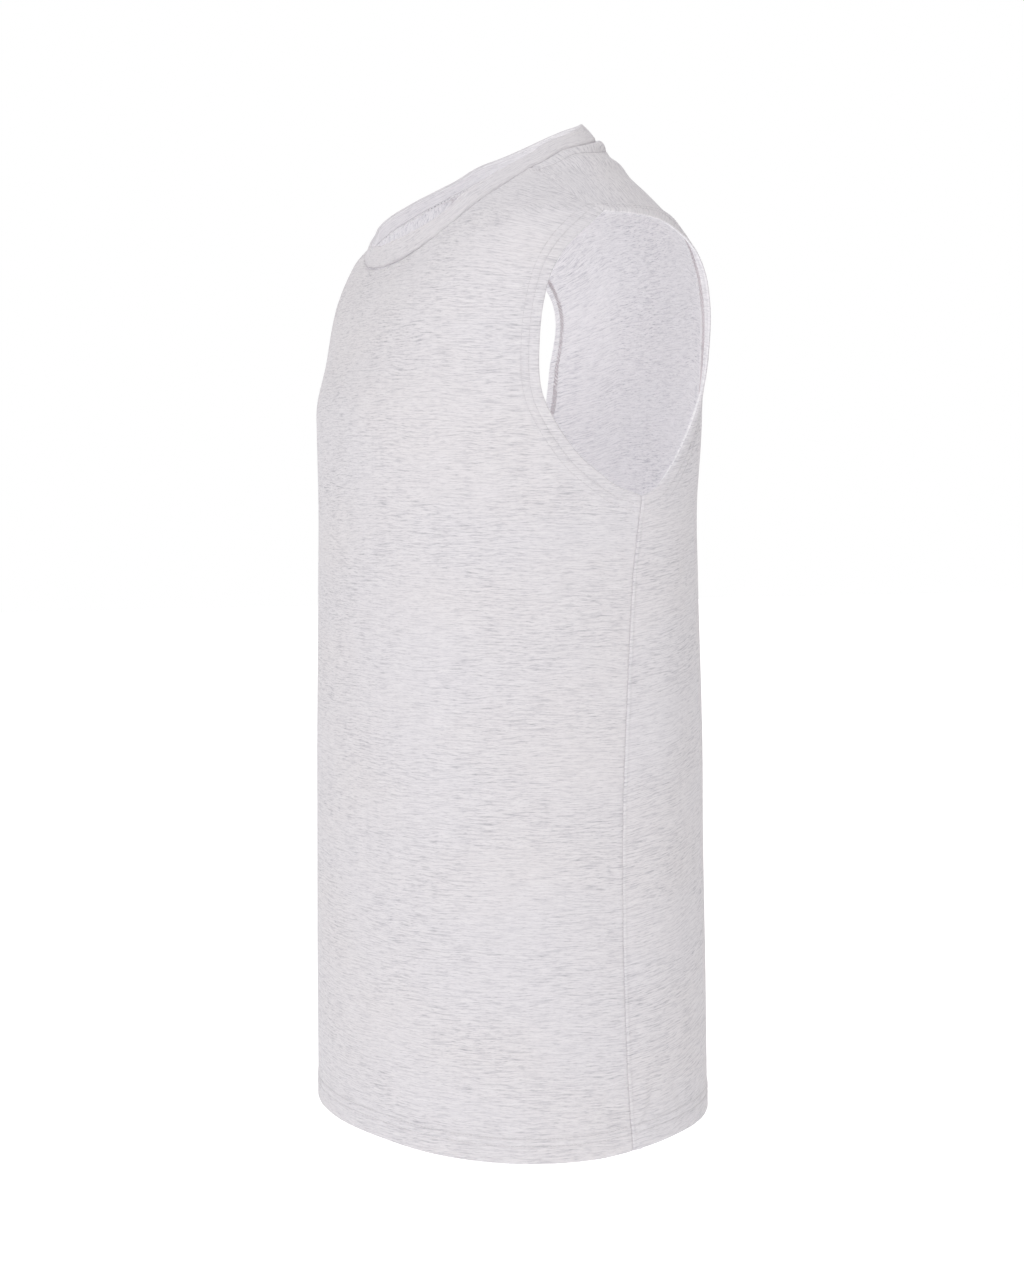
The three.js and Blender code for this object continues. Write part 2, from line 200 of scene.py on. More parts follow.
SECTION = {
    name: smooth_line([row[0] for row in SECTIONS], [row[i] for row in SECTIONS])
    for i, name in enumerate(SECTION_COLUMNS)
    if i
}


def form_points(angle, height):
    """The outer face of the worn cloth on the wearer's left half, in millimetres."""
    turn = np.radians(angle)
    across = np.cos(turn)
    along = np.sin(turn)
    front = along < 0
    depth = np.where(front, SECTION["front_depth"](height), SECTION["back_depth"](height))
    power = np.where(front, SECTION["front_square"](height), SECTION["back_square"](height))
    reach = (np.abs(across) ** power + np.abs(along) ** power) ** (-1 / power)
    x = SECTION["half_width"](height) * reach * across
    y = SECTION["ridge_y"](height) + depth * reach * along
    return np.stack([x, y, np.broadcast_to(height, x.shape)], axis=-1)


def unit(vectors):
    """Vectors scaled to length one."""
    length = np.linalg.norm(vectors, axis=-1, keepdims=True)
    return vectors / np.maximum(length, TINY)


def run_along(points):
    """How far along a line each of its points is."""
    return np.concatenate([[0], np.cumsum(np.linalg.norm(np.diff(points, axis=0), axis=1))])


def read_rows(goal, run, rows):
    """Rows of numbers along a line, read at the places of goal."""
    return np.stack([np.interp(goal, run, column) for column in rows.T], axis=-1)


def facing(ways, away):
    """Directions turned round where they point against away."""
    return ways * np.sign((ways * away).sum(-1, keepdims=True))


def ring_faces(count, around, closed):
    """Quads between count rings of around points each."""
    rows = np.arange(count if closed else count - 1)[:, None]
    ahead = (rows + 1) % count * around
    rows = rows * around
    k = np.arange(around)[None, :]
    up = (k + 1) % around
    return np.stack([rows + k, rows + up, ahead + up, ahead + k], axis=-1).reshape(-1, 4)


def form_slopes(angle, height, step=0.4):
    """How the form moves with the angle and with the height."""
    around = form_points(angle + step, height) - form_points(angle - step, height)
    up = form_points(angle, height + step) - form_points(angle, height - step)
    return around / (2 * step), up / (2 * step)


def form_normals(angle, height):
    """Directions straight out of the form."""
    around, up = form_slopes(angle, height)
    return unit(np.cross(around, up))


def ease(value, low, high):
    """0 below low, 1 above high and smooth between them."""
    t = np.clip((value - low) / (high - low), 0, 1)
    return t * t * (3 - 2 * t)


def bump(distance, centre, width):
    """A soft ridge of height 1 at a distance from an edge."""
    return np.exp(-(((distance - centre) / width) ** 2))


class Track:
    """A smooth line on the form through (angle, height) rows, read by its share of real length."""

    SAMPLES = 480

    def __init__(self, rows):
        table = np.array(rows, float)
        lengths = run_along(form_points(table[:, 0], table[:, 1]))
        last = len(table) - 1
        before = np.maximum(np.arange(last + 1) - 1, 0)
        after = np.minimum(np.arange(last + 1) + 1, last)
        slopes = (table[after] - table[before]) / (lengths[after] - lengths[before])[:, None]
        want = np.linspace(0, lengths[-1], self.SAMPLES + 1)
        i = np.clip(np.searchsorted(lengths, want, side="left") - 1, 0, last - 1)
        h = (lengths[i + 1] - lengths[i])[:, None]
        a, b, c, d = cubic_shares(((want - lengths[i]) / h[:, 0])[:, None])
        self.spots = a * table[i] + b * h * slopes[i] + c * table[i + 1] + d * h * slopes[i + 1]
        self.points = form_points(self.spots[:, 0], self.spots[:, 1])
        self.run = run_along(self.points)
        self.length = self.run[-1]

    def at(self, share):
        """Angles and heights at shares of the length."""
        goal = np.asarray(share, float) * self.length
        return (
            np.interp(goal, self.run, self.spots[:, 0]),
            np.interp(goal, self.run, self.spots[:, 1]),
        )

    def nearest(self, points):
        """The distance of each point from the line, and how far along the line it is."""
        flat = points.reshape(-1, 3)
        square = (flat**2).sum(1)[:, None] + (self.points**2).sum(1)[None, :]
        square = square - 2 * flat @ self.points.T
        k = np.argmin(square, axis=1)
        best = np.full(len(flat), math.inf)
        along = np.zeros(len(flat))
        for shift in (-1, 0):
            a = np.clip(k + shift, 0, len(self.points) - 2)
            start = self.points[a]
            way = self.points[a + 1] - start
            t = ((flat - start) * way).sum(1) / np.maximum((way**2).sum(1), TINY)
            t = np.clip(t, 0, 1)
            gap = np.linalg.norm(flat - start - way * t[:, None], axis=1)
            closer = gap < best
            best = np.where(closer, gap, best)
            run = self.run[a] + t * (self.run[a + 1] - self.run[a])
            along = np.where(closer, run, along)
        return best.reshape(points.shape[:-1]), along.reshape(points.shape[:-1])


TRACKS = {
    "side": Track(SIDE_SEAM),
    "shoulder": Track(SHOULDER_SEAM),
    "front_neck": Track(FRONT_NECKLINE),
    "back_neck": Track(BACK_NECKLINE),
    "front_arm": Track(FRONT_ARMHOLE),
    "back_arm": Track(BACK_ARMHOLE),
    "front_hem": Track(FRONT_HEM),
    "back_hem": Track(BACK_HEM),
}
UNDERARM = SIDE_SEAM[-1][1]

# Distances in millimetres of the grid's lines from an edge, close where seams and turnings end
HEM_STEPS = (0, 0.4, 1, 1.8, 3.5, 7, 11, 12.2, 12.8, 13.4, 15, 17, 17.9, 18.5, 19.2, 20.4, 23)
SIDE_STEPS = (0, 0.35, 0.9, 1.6, 2.5, 3.6, 5, 6.4, 7.4, 8.6, 10.2, 11.6, 12.8, 13.7, 14.5, 15.6, 18)
UNDERARM_STEPS = (0, 2, 5)
CENTRE_STEPS = (0, 0.4, 1, 2, 3.6, 6)
SHOULDER_STEPS = (0, 0.35, 0.9, 1.6, 2.6, 4)
BODY_STEP = 5.2
NECK_STEP = 3
ACROSS_STEP = 4.3
CHEST_ROWS = 36
HALF_WIDTH = 230


def spread(first, last, steps_at_first, steps_at_last, step):
    """Places from first to last, closer together at both ends."""
    low = [first + d for d in steps_at_first]
    high = [last - d for d in reversed(steps_at_last)]
    count = max(1, round((high[0] - low[-1]) / step))
    middle = np.linspace(low[-1], high[0], count + 1)[1:-1]
    return np.array([*low, *middle, *high])


def half_panel(centre, hem, neck, arm, at_neck):
    """Angles and heights of half a panel, blended between its four edges, and its neck row."""
    hem_height = hem.spots[0, 1]
    neck_height = neck.spots[0, 1]
    side = TRACKS["side"]
    body = spread(0, side.length, HEM_STEPS, UNDERARM_STEPS, BODY_STEP) / side.length
    chest = np.linspace(0, 1, CHEST_ROWS)[1:]
    neck_rows = spread(0, neck.length, (0,), SHOULDER_STEPS, NECK_STEP)[1:] / neck.length
    left = [np.stack([np.full(len(body), centre), hem_height + (UNDERARM - hem_height) * body])]
    right = [np.stack(side.at(body))]
    left.append(np.stack([np.full(len(chest), centre), UNDERARM + (neck_height - UNDERARM) * chest]))
    right.append(np.stack(arm.at(chest * at_neck)))
    left.append(np.stack(neck.at(neck_rows)))
    right.append(np.stack(arm.at(at_neck + neck_rows * (1 - at_neck))))
    left = np.concatenate(left, axis=1)
    right = np.concatenate(right, axis=1)
    s = spread(0, HALF_WIDTH, CENTRE_STEPS, SIDE_STEPS, ACROSS_STEP) / HALF_WIDTH
    t = run_along(form_points(right[0], right[1]))
    t = (t / t[-1])[:, None]
    low = np.stack(hem.at(s))
    high = np.stack(TRACKS["shoulder"].at(s))
    grids = []
    for k in (0, 1):
        a = left[k][:, None]
        b = right[k][:, None]
        c = low[k][None, :]
        d = high[k][None, :]
        flat = (1 - s) * a + s * b + (1 - t) * c + t * d
        corner = (1 - s) * (1 - t) * a[0] + s * (1 - t) * b[0]
        corner = corner + (1 - s) * t * a[-1] + s * t * b[-1]
        grids.append(flat - corner)
    return grids[0], grids[1], left.shape[1] - len(neck_rows) - 1


SETTLE_STEPS = 900
SETTLE_REST = 1e-6


def flat_cut(points, normals, neck_row, front):
    """Places on the flat cut: across from the centre line and up from the hem, with the knit."""
    level = unit(np.cross(UP, normals)) * (1 if front else -1)
    sideways = np.array([1.0, 0, 0]) - normals * normals[..., :1]
    share = ease(np.abs(normals[..., 2:3]), 0.3, 0.75)
    course = unit(level * (1 - share) + unit(sideways) * share)
    course = unit(course - normals * (course * normals).sum(-1, keepdims=True))
    wale = np.cross(normals, course) * (1 if front else -1)
    right = points[:, 1:] - points[:, :-1]
    up = points[1:] - points[:-1]
    size_r = np.maximum(np.linalg.norm(right, axis=-1), 0.05)
    size_u = np.maximum(np.linalg.norm(up, axis=-1), 0.05)
    tall = (np.pad(size_u, ((0, 1), (0, 0)), "edge") + np.pad(size_u, ((1, 0), (0, 0)), "edge")) / 2
    wide = (np.pad(size_r, ((0, 0), (0, 1)), "edge") + np.pad(size_r, ((0, 0), (1, 0)), "edge")) / 2
    weight_r = (tall[:, 1:] + tall[:, :-1]) / 2 / size_r
    weight_u = (wide[1:] + wide[:-1]) / 2 / size_u
    free = np.ones(points.shape[:2])

    def gathered(rise_r, rise_u):
        """What weighted rises along the grid's steps leave at each place."""
        out = np.zeros(points.shape[:2])
        flow = weight_r * rise_r
        out[:, 1:] += flow
        out[:, :-1] -= flow
        flow = weight_u * rise_u
        out[1:] += flow
        out[:-1] -= flow
        return out * free

    def pull(field):
        return gathered(field[:, 1:] - field[:, :-1], field[1:] - field[:-1])

    def settle(axis, field):
        """The field whose rises come closest to the grid's own steps along an axis."""
        axis_r = (axis[:, 1:] + axis[:, :-1]) / 2
        axis_u = (axis[1:] + axis[:-1]) / 2
        rest = gathered((right * axis_r).sum(-1), (up * axis_u).sum(-1)) - pull(field)
        step = rest
        power = (rest * rest).sum()
        for _ in range(SETTLE_STEPS):
            moved = pull(step)
            scale = power / max((step * moved).sum(), TINY)
            field = field + scale * step
            rest = rest - scale * moved
            after = (rest * rest).sum()
            if after < SETTLE_REST:
                break
            step = rest + after / power * step
            power = after
        return field

    first_v = np.concatenate([np.zeros((1, points.shape[1])), np.cumsum(size_u, axis=0)])
    up_cut = settle(wale, first_v)
    up_cut = up_cut - up_cut[0, 0]
    free[: neck_row + 1, 0] = 0
    first_u = np.concatenate([np.zeros((points.shape[0], 1)), np.cumsum(size_r, axis=1)], axis=1)
    across_cut = settle(course, first_u)
    return across_cut, up_cut


def pucker(run, period, seed):
    """Uneven small waves along a seam."""
    drift = 0.32 * np.sin(run / period * 1.7 + seed) + 0.21 * np.sin(run / period * 0.61 + 2.3 * seed)
    swell = 0.65 + 0.35 * np.sin(run / period * 0.47 + 1.9 * seed)
    return np.sin(2 * math.pi * (run / period + drift)) * swell


def creases(rows, across, up):
    """Troughs and ridges from a table, on one side of the flat cut."""
    total = np.zeros(across.shape)
    for row in named(CREASE_COLUMNS, rows):
        turn = math.radians(row["turn"])
        dx = across - row["across"]
        dy = up - row["up"]
        along = dx * math.cos(turn) + dy * math.sin(turn)
        aside = -dx * math.sin(turn) + dy * math.cos(turn) + row["bend"] * along**2
        fade = np.exp(-((np.abs(along) / row["half_length"]) ** 3))
        total = total + row["rise"] * np.exp(-((aside / row["half_width"]) ** 2)) * fade
    return total


def fold_round(distance, radius):
    """How much of its thickness a folded edge has near the fold."""
    t = np.clip(distance / radius, 0, 1)
    return 0.08 + 0.92 * np.sqrt(np.clip(1 - (1 - t) ** 2, 0, 1))


# Relief of the panels in millimetres: ridges over the turnings, grooves at the seams, and dips
# under the needle rows, the first of which lies a little inside the turning's end.
HEM_RIDGE = 0.55
ARM_RIDGE = 0.8
SIDE_GROOVE = 0.6
SHOULDER_GROOVE = 0.7
NECK_GROOVE = 1.4
LINE_INSET = 0.8
LINE_DIP = 0.48
LINE_WIDTH = 0.75
BACK_NECK_LINE = 10.8
ROLL_REACH = 10.6
ROLL_HEIGHT = 1.9
STAND_OFF = 6.0
STAND_FALL = 10.5
OPEN_TURNING = 2.4

# How much of the armhole lies beside the panel's body, below the neckline's rows
FRONT_ARM_SHARE = 0.5
BACK_ARM_SHARE = 0.74


class Panel:
    """A front or back panel: its grid on the form, its flat cut and its relief."""

    def __init__(self, front, sizes):
        self.front = front
        self.sizes = sizes
        self.hem = TRACKS["front_hem" if front else "back_hem"]
        self.neck = TRACKS["front_neck" if front else "back_neck"]
        self.arm = TRACKS["front_arm" if front else "back_arm"]
        at_neck = FRONT_ARM_SHARE if front else BACK_ARM_SHARE
        grid = half_panel(-90 if front else 90, self.hem, self.neck, self.arm, at_neck)
        self.angle, self.height, self.neck_row = grid
        self.points = form_points(self.angle, self.height)
        self.normals = form_normals(self.angle, self.height)
        self.across, self.up = flat_cut(self.points, self.normals, self.neck_row, front)
        self.side_row = int(np.argmin(np.abs(self.height[:, -1] - UNDERARM)))
        from_arm, self.arm_run = self.arm.nearest(self.points)
        from_neck, self.neck_run = self.neck.nearest(self.points)
        from_shoulder, self.shoulder_run = TRACKS["shoulder"].nearest(self.points)
        from_side, self.side_run = TRACKS["side"].nearest(self.points)
        from_hem, self.hem_run = self.hem.nearest(self.points)
        from_arm[self.side_row:, -1] = 0
        from_side[: self.side_row + 1, -1] = 0
        from_shoulder[-1] = 0
        from_neck[self.neck_row:, 0] = 0
        from_hem[0] = 0
        self.distance = {
            "arm": from_arm,
            "neck": from_neck,
            "shoulder": from_shoulder,
            "side": from_side,
            "hem": from_hem,
        }

    def relief(self, side):
        """How far the outer face and the inner face stand from the form on one side, in mm."""
        sizes = self.sizes
        cloth = sizes.cloth_thickness / MM
        turned = sizes.turned_thickness / MM
        hem_depth = sizes.hem_depth / MM
        turning = sizes.armhole_turning / MM
        gauge = sizes.needle_gauge / MM
        arm = self.distance["arm"]
        hem = self.distance["hem"]
        neck = self.distance["neck"]
        shoulder = self.distance["shoulder"]
        seam = self.distance["side"]
        wave = 1.7 if side > 0 else 4.1
        table = FRONT_CREASES if self.front else BACK_CREASES
        body = creases(table, side * self.across, self.up)
        calm = ease(arm, 4, 30) * ease(neck, 4, 30) * ease(hem, 2, 16) * ease(seam, 1, 12)
        outer = body * (0.25 + 0.75 * calm)
        near_hem = 1 - ease(hem, hem_depth - 0.4, hem_depth + 2.2)
        near_arm = 1 - ease(arm, turning - 0.4, turning + 2.0)
        outer = outer + HEM_RIDGE * near_hem + ARM_RIDGE * near_arm
        for edge, depth, run in ((hem, hem_depth, self.hem_run), (arm, turning, self.arm_run)):
            line = depth - LINE_INSET
            outer = outer - LINE_DIP * bump(edge, line, LINE_WIDTH)
            outer = outer - LINE_DIP * bump(edge, line - gauge, LINE_WIDTH)
            between = bump(edge, line - gauge / 2, gauge * 0.75)
            outer = outer + 0.26 * pucker(run, 5.6, wave) * between
            lip = bump(edge, depth - gauge - 4.2, 2.4)
            outer = outer + 0.24 * pucker(run, 9.5, wave + 1) * lip
        # Sewn edges dive into the seam
        outer = outer - SIDE_GROOVE * bump(seam, 0, 0.7)
        outer = outer - SHOULDER_GROOVE * bump(shoulder, 0, 1.0)
        outer = outer - NECK_GROOVE * bump(neck, 0, 0.95)
        below = ease(-self.height, -UNDERARM - 3, -UNDERARM + 6)
        if self.front:
            outer = outer + 0.1 * bump(seam, 1.8, 1.0) * below
        else:
            outer = outer + 0.6 * bump(seam, 1.5, 0.9) * below
            roll = np.clip(neck / ROLL_REACH, 0, 1)
            swell = np.sin(math.pi * roll**0.75) * ease(self.angle, -30, 35)
            outer = outer + ROLL_HEIGHT * swell
            topstitch = 0.45 * bump(neck, BACK_NECK_LINE, 0.7)
            outer = outer - topstitch * ease(self.angle, -36, -30)
        outer = outer + 0.2 * pucker(self.side_run, 21, wave) * bump(seam, 2.5, 5)
        outer = outer + 0.45 * pucker(self.shoulder_run, 8.5, wave + 2) * bump(shoulder, 2.4, 5)
        # Short folds that fan out below the neck seam, deepest beside the shoulder
        beside = ease(self.angle, -72, -48) * (1 - ease(self.angle, 12, 50))
        fan = pucker(self.neck_run + neck * 0.45, 7.6, wave + 3) * np.exp(-neck / 13)
        long_fan = pucker(self.neck_run - neck * 0.3, 15, wave + 5) * np.exp(-neck / 26)
        folds = (0.8 * fan + 0.7 * long_fan) * (1.0 if self.front else 0.3)
        outer = outer + folds * (0.25 + 0.75 * beside) * ease(neck, 0.3, 2.5)
        if not self.front:
            # The back of the armhole stands off the shoulder blade and turns outwards
            along = self.arm_run / self.arm.length
            window = ease(along, 0.2, 0.42) * (1 - ease(along, 0.6, 0.78))
            stand = STAND_OFF - STAND_FALL * ease(arm, -6, 22)
            stand = stand * (1 - ease(arm, 16, 52))
            outer = outer + stand * window * (1.0 if side > 0 else 0.7)
        thick = cloth + (turned - cloth) * (1 - ease(hem, hem_depth - 0.1, hem_depth + 0.7))
        thick = np.maximum(
            thick, cloth + (turned - cloth) * (1 - ease(arm, turning + 0.2, turning + 1))
        )
        if not self.front:
            # The turning stands a little open along the lower back of the armhole
            loose = ease(self.arm_run, 4, 26) * (1 - ease(self.arm_run, 70, 112))
            thick = thick + OPEN_TURNING * loose * bump(arm, 1.6, 3.8)
        rounded = fold_round(hem, turned * 0.55) * fold_round(arm, turned * 0.55)
        trim = thick * (1 - rounded) / 2
        inner = outer - thick + trim
        outer = outer - trim
        return outer, inner

    def mesh_parts(self):
        """Points, faces and flat cut places of the closed shell, in millimetres."""
        rows, columns = self.angle.shape
        keep = {1: np.zeros((rows, columns), int), -1: np.zeros((rows, columns), int)}
        outer_points = []
        inner_points = []
        places = []
        count = 0
        for side in (1, -1):
            outer, inner = self.relief(side)
            for j in range(rows):
                first = 1 if side < 0 and j <= self.neck_row else 0
                if first:
                    keep[-1][j, 0] = keep[1][j, 0]
                keep[side][j, first:] = np.arange(count, count + columns - first)
                count += columns - first
                point = self.points[j, first:]
                normal = self.normals[j, first:]
                face = point + normal * outer[j, first:, None]
                back = point + normal * inner[j, first:, None]
                if j <= self.neck_row and side > 0:
                    face[0, 0] = 0
                    back[0, 0] = 0
                outer_points.append(face * (side, 1, 1))
                inner_points.append(back * (side, 1, 1))
                lift = self.up[j, first:]
                places.append(np.stack([side * self.across[j, first:], lift], axis=1))
        faces = []
        for side in (1, -1):
            at = keep[side]
            quads = [at[:-1, :-1], at[:-1, 1:], at[1:, 1:], at[1:, :-1]]
            quads = np.stack([q.ravel() for q in quads], axis=1)
            outward = side if self.front else -side
            if outward < 0:
                quads = quads[:, ::-1]
            faces.append(quads)
            faces.append(quads[:, ::-1] + count)
        rims = []
        for side in (1, -1):
            at = keep[side]
            path = [*at[0, :-1], *at[:-1, -1], *at[-1, :0:-1], *at[: self.neck_row - 1: -1, 0]]
            rims.append([int(k) for k in path])
        rim = np.array(rims[0] + rims[1][::-1][1:-1])
        ahead = np.roll(rim, -1)
        band = np.stack([rim, rim + count, ahead + count, ahead], axis=1)
        if not self.front:
            band = band[:, ::-1]
        faces.append(band)
        places = np.concatenate(places)
        inside = np.concatenate([np.zeros(count), np.ones(count)])
        cut = np.column_stack([np.concatenate([places, places]), inside])
        return np.concatenate(outer_points + inner_points), np.concatenate(faces), cut


def flat_sheet(cut, faces):
    """Width, length and area of the flat cut in metres, from the outer face's places on it."""
    outer = faces[(cut[faces, 2] == 0).all(axis=1)]
    corners = cut[outer][..., :2]
    one = corners[:, 2] - corners[:, 0]
    two = corners[:, 3] - corners[:, 1]
    area = np.abs(one[:, 0] * two[:, 1] - one[:, 1] * two[:, 0]).sum() / 2
    spots = cut[cut[:, 2] == 0]
    width = np.ptp(spots[:, 0]) * MM
    length = np.ptp(spots[:, 1]) * MM
    return (width, length), area * MM * MM


def build_object(name, points, faces, cut, material):
    """A smooth mesh object from millimetres, with its places on the flat cut."""
    mesh = bpy.data.meshes.new(name)
    mesh.from_pydata((points * MM).tolist(), [], [list(map(int, f)) for f in faces])
    mesh.validate()
    attribute = mesh.attributes.new("cut", "FLOAT_VECTOR", "POINT")
    attribute.data.foreach_set("vector", np.asarray(cut, np.float32).ravel())
    mesh.polygons.foreach_set("use_smooth", np.ones(len(mesh.polygons), bool))
    mesh.materials.append(material)
    made = bpy.data.objects.new(name, mesh)
    bpy.context.scene.collection.objects.link(made)
    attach(made, "root")
    return made


def offset_line(angle, height, distance, away):
    """A line on the form at a distance from another one, to the side that away points to."""
    points = form_points(angle, height)
    normals = form_normals(angle, height)
    aside = unit(np.cross(normals, unit(np.gradient(points, axis=0))))
    goal = points + facing(aside, away) * distance
    a = angle
    h = height
    for _ in range(4):
        around, up = form_slopes(a, h)
        miss = goal - form_points(a, h)
        aa = (around**2).sum(-1)
        uu = (up**2).sum(-1)
        au = (around * up).sum(-1)
        ra = (around * miss).sum(-1)
        ru = (up * miss).sum(-1)
        det = np.maximum(aa * uu - au**2, TINY)
        a = a + (ra * uu - ru * au) / det
        h = h + (ru * aa - ra * au) / det
    return form_points(a, h), form_normals(a, h)


def tube(path, radius, sides=5):
    """Points and faces of a thread along a path in millimetres, closed to a point at both ends."""
    path = np.asarray(path, float)
    tangent = unit(np.gradient(path, axis=0))
    seed = np.array([0.31, 0.52, 0.79])
    first = unit(np.cross(tangent, seed))
    second = np.cross(tangent, first)
    turns = np.linspace(0, 2 * math.pi, sides, endpoint=False)[None, :, None]
    width = np.full(len(path), radius)
    width[0] = radius * 0.35
    width[-1] = radius * 0.35
    ring = first[:, None] * np.cos(turns) + second[:, None] * np.sin(turns)
    points = (path[:, None] + ring * width[:, None, None]).reshape(-1, 3)
    return points, ring_faces(len(path), sides, False)


class Threads:
    """Gathers many threads into one mesh."""

    def __init__(self):
        self.points = []
        self.faces = []
        self.count = 0

    def add(self, path, radius, sides=5):
        points, faces = tube(path, radius, sides)
        self.points.append(points)
        self.faces.append(faces + self.count)
        self.count += len(points)

    def build(self, name, material):
        points = np.concatenate(self.points)
        cut = np.column_stack([points[:, 0] + points[:, 1], points[:, 2], np.zeros(len(points))])
        return build_object(name, points, np.concatenate(self.faces), cut, material)


def resample(points, normals, step):
    """Evenly spaced places along a line, with their normals."""
    run = run_along(points)
    want = np.linspace(0, run[-1], max(2, round(run[-1] / step)) + 1)
    return read_rows(want, run, points), unit(read_rows(want, run, normals))


# How far from the form a panel's built face is looked for, in millimetres
RAY_REACH = 9


class Skin:
    """The built face of a panel, for laying threads on it."""

    def __init__(self, made):
        mesh = made.data
        points = [tuple(v.co / MM) for v in mesh.vertices]
        self.tree = BVHTree.FromPolygons(points, [tuple(p.vertices) for p in mesh.polygons])

    def lay(self, point, normal, lift, outside=True):
        """A point on the outer or inner face beneath a place on the form."""
        way = Vector(normal) if outside else -Vector(normal)
        start = Vector(point) + way * RAY_REACH
        hit = self.tree.ray_cast(start, -way, 2 * RAY_REACH)
        if hit[0] is None:
            return np.array(point)
        return np.array(hit[0] + way * lift)


def needle_line(threads, skin, points, normals, sizes, mirror):
    """A row of single stitches on the outer face."""
    radius = sizes.thread_radius / MM
    place, out = resample(points, normals, sizes.stitch_length / MM)
    flip = np.array([mirror, 1, 1])
    place = place * flip
    out = out * flip
    for i in range(len(place) - 1):
        way = place[i + 1] - place[i]
        path = []
        for share, lift in ((0.06, -0.25), (0.2, 0.06), (0.5, 0.16), (0.8, 0.06), (0.94, -0.25)):
            normal = unit(out[i] * (1 - share) + out[i + 1] * share)
            path.append(skin.lay(place[i] + way * share, normal, lift))
        threads.add(path, radius)


def zigzag(threads, skin, lines, mirror, seed):
    """A looper thread that crosses between two lines on the inner face."""
    near, near_out = resample(*lines[0], LOOPER_STEP)
    far, far_out = resample(*lines[1], LOOPER_STEP)
    count = min(len(near), len(far))
    flip = np.array([mirror, 1, 1])
    path = []
    for i in range(count - 1):
        j = round(i / (count - 1) * (len(far) - 1))
        jitter = 0.12 * math.sin(i * 2.4 + seed)
        a = near[i] * flip
        b = (far[j] + (far[min(j + 1, len(far) - 1)] - far[j]) * (0.5 + jitter)) * flip
        out_a = near_out[i] * flip
        out_b = far_out[j] * flip
        path.append(skin.lay(a, out_a, LOOPER_THREAD * 0.5, False))
        path.append(skin.lay((a + b) / 2, unit(out_a + out_b), LOOPER_THREAD * 1.2, False))
        path.append(skin.lay(b, out_b, LOOPER_THREAD * 0.5, False))
    threads.add(path, LOOPER_THREAD, 4)


class Link:
    """A shader socket that takes part in sums, which add the nodes they need."""

    def __init__(self, shader, node, output=0):
        self.shader = shader
        self.node = node
        self.socket = node.outputs[output]

    def out(self, name):
        return Link(self.shader, self.node, name)

    def sum(self, operation, first, second=0.0):
        return self.shader.node("ShaderNodeMath", {"operation": operation}, {0: first, 1: second})

    def __add__(self, other):
        return self.sum("ADD", self, other)

    def __radd__(self, other):
        return self.sum("ADD", other, self)

    def __sub__(self, other):
        return self.sum("SUBTRACT", self, other)

    def __rsub__(self, other):
        return self.sum("SUBTRACT", other, self)

    def __mul__(self, other):
        return self.sum("MULTIPLY", self, other)

    def __rmul__(self, other):
        return self.sum("MULTIPLY", other, self)

    def __truediv__(self, other):
        return self.sum("DIVIDE", self, other)

    def __pow__(self, other):
        return self.sum("POWER", self, other)


class Shader:
    """The node tree of a material or of the world."""

    def __init__(self, owner):
        owner.use_nodes = True
        self.owner = owner
        self.tree = owner.node_tree
        self.tree.nodes.clear()

    def node(self, kind, settings=None, values=None, output=0):
        """Adds a node: its settings first, then the values or links of its inputs."""
        made = self.tree.nodes.new(kind)
        for name, value in (settings or {}).items():
            setattr(made, name, value)
        for name, value in (values or {}).items():
            if isinstance(value, Link):
                self.tree.links.new(value.socket, made.inputs[name])
            else:
                made.inputs[name].default_value = value
        return Link(self, made, output) if len(made.outputs) else made

    def mix(self, factor, first, second):
        """A colour between two colours."""
        values = {0: factor, 6: first, 7: second}
        return self.node("ShaderNodeMix", {"data_type": "RGBA"}, values, 2)

    def vector(self, operation, first, second, output=0):
        """A sum or product of two vectors."""
        settings = {"operation": operation}
        return self.node("ShaderNodeVectorMath", settings, {0: first, 1: second}, output)

    def noise(self, place, scale, detail=2.0, roughness=0.5):
        """Smooth noise from 0 to 1, finer along an axis with a larger scale."""
        values = {
            "Vector": self.vector("MULTIPLY", place, scale),
            "Scale": 1.0,
            "Detail": detail,
            "Roughness": roughness,
        }
        return self.node("ShaderNodeTexNoise", {"noise_dimensions": "3D"}, values, "Fac")

    def between(self, value, low, high):
        """0 at low, 1 at high and smooth between them."""
        settings = {"interpolation_type": "SMOOTHSTEP"}
        return self.node(
            "ShaderNodeMapRange", settings, {"Value": value, "From Min": low, "From Max": high}
        )

    def wave(self, value, period):
        """A sine wave along a measure."""
        return self.node("ShaderNodeMath", {"operation": "SINE"}, {0: value * (2 * math.pi / period)})

    def bumps(self, strength, distance, height):
        """The normal of a surface with small heights."""
        values = {"Strength": strength, "Distance": distance, "Height": height}
        return self.node("ShaderNodeBump", None, values)

    def finish(self, values):
        """The cloth's own shader and the material's output."""
        cloth = self.node("ShaderNodeBsdfPrincipled", None, values)
        self.node("ShaderNodeOutputMaterial", None, {"Surface": cloth})
        return self.owner


# The knit in millimetres, and the depth of its loops and of the thread's twist in metres
WALE_WIDTH = 0.9
COURSE_HEIGHT = 0.75
LOOP_DEPTH = 0.35 * MM
TWIST_DEPTH = 0.1 * MM
STREAK_WANDER = 5.0
FACES_APART = 37.0
BLACK = (0, 0, 0, 1)


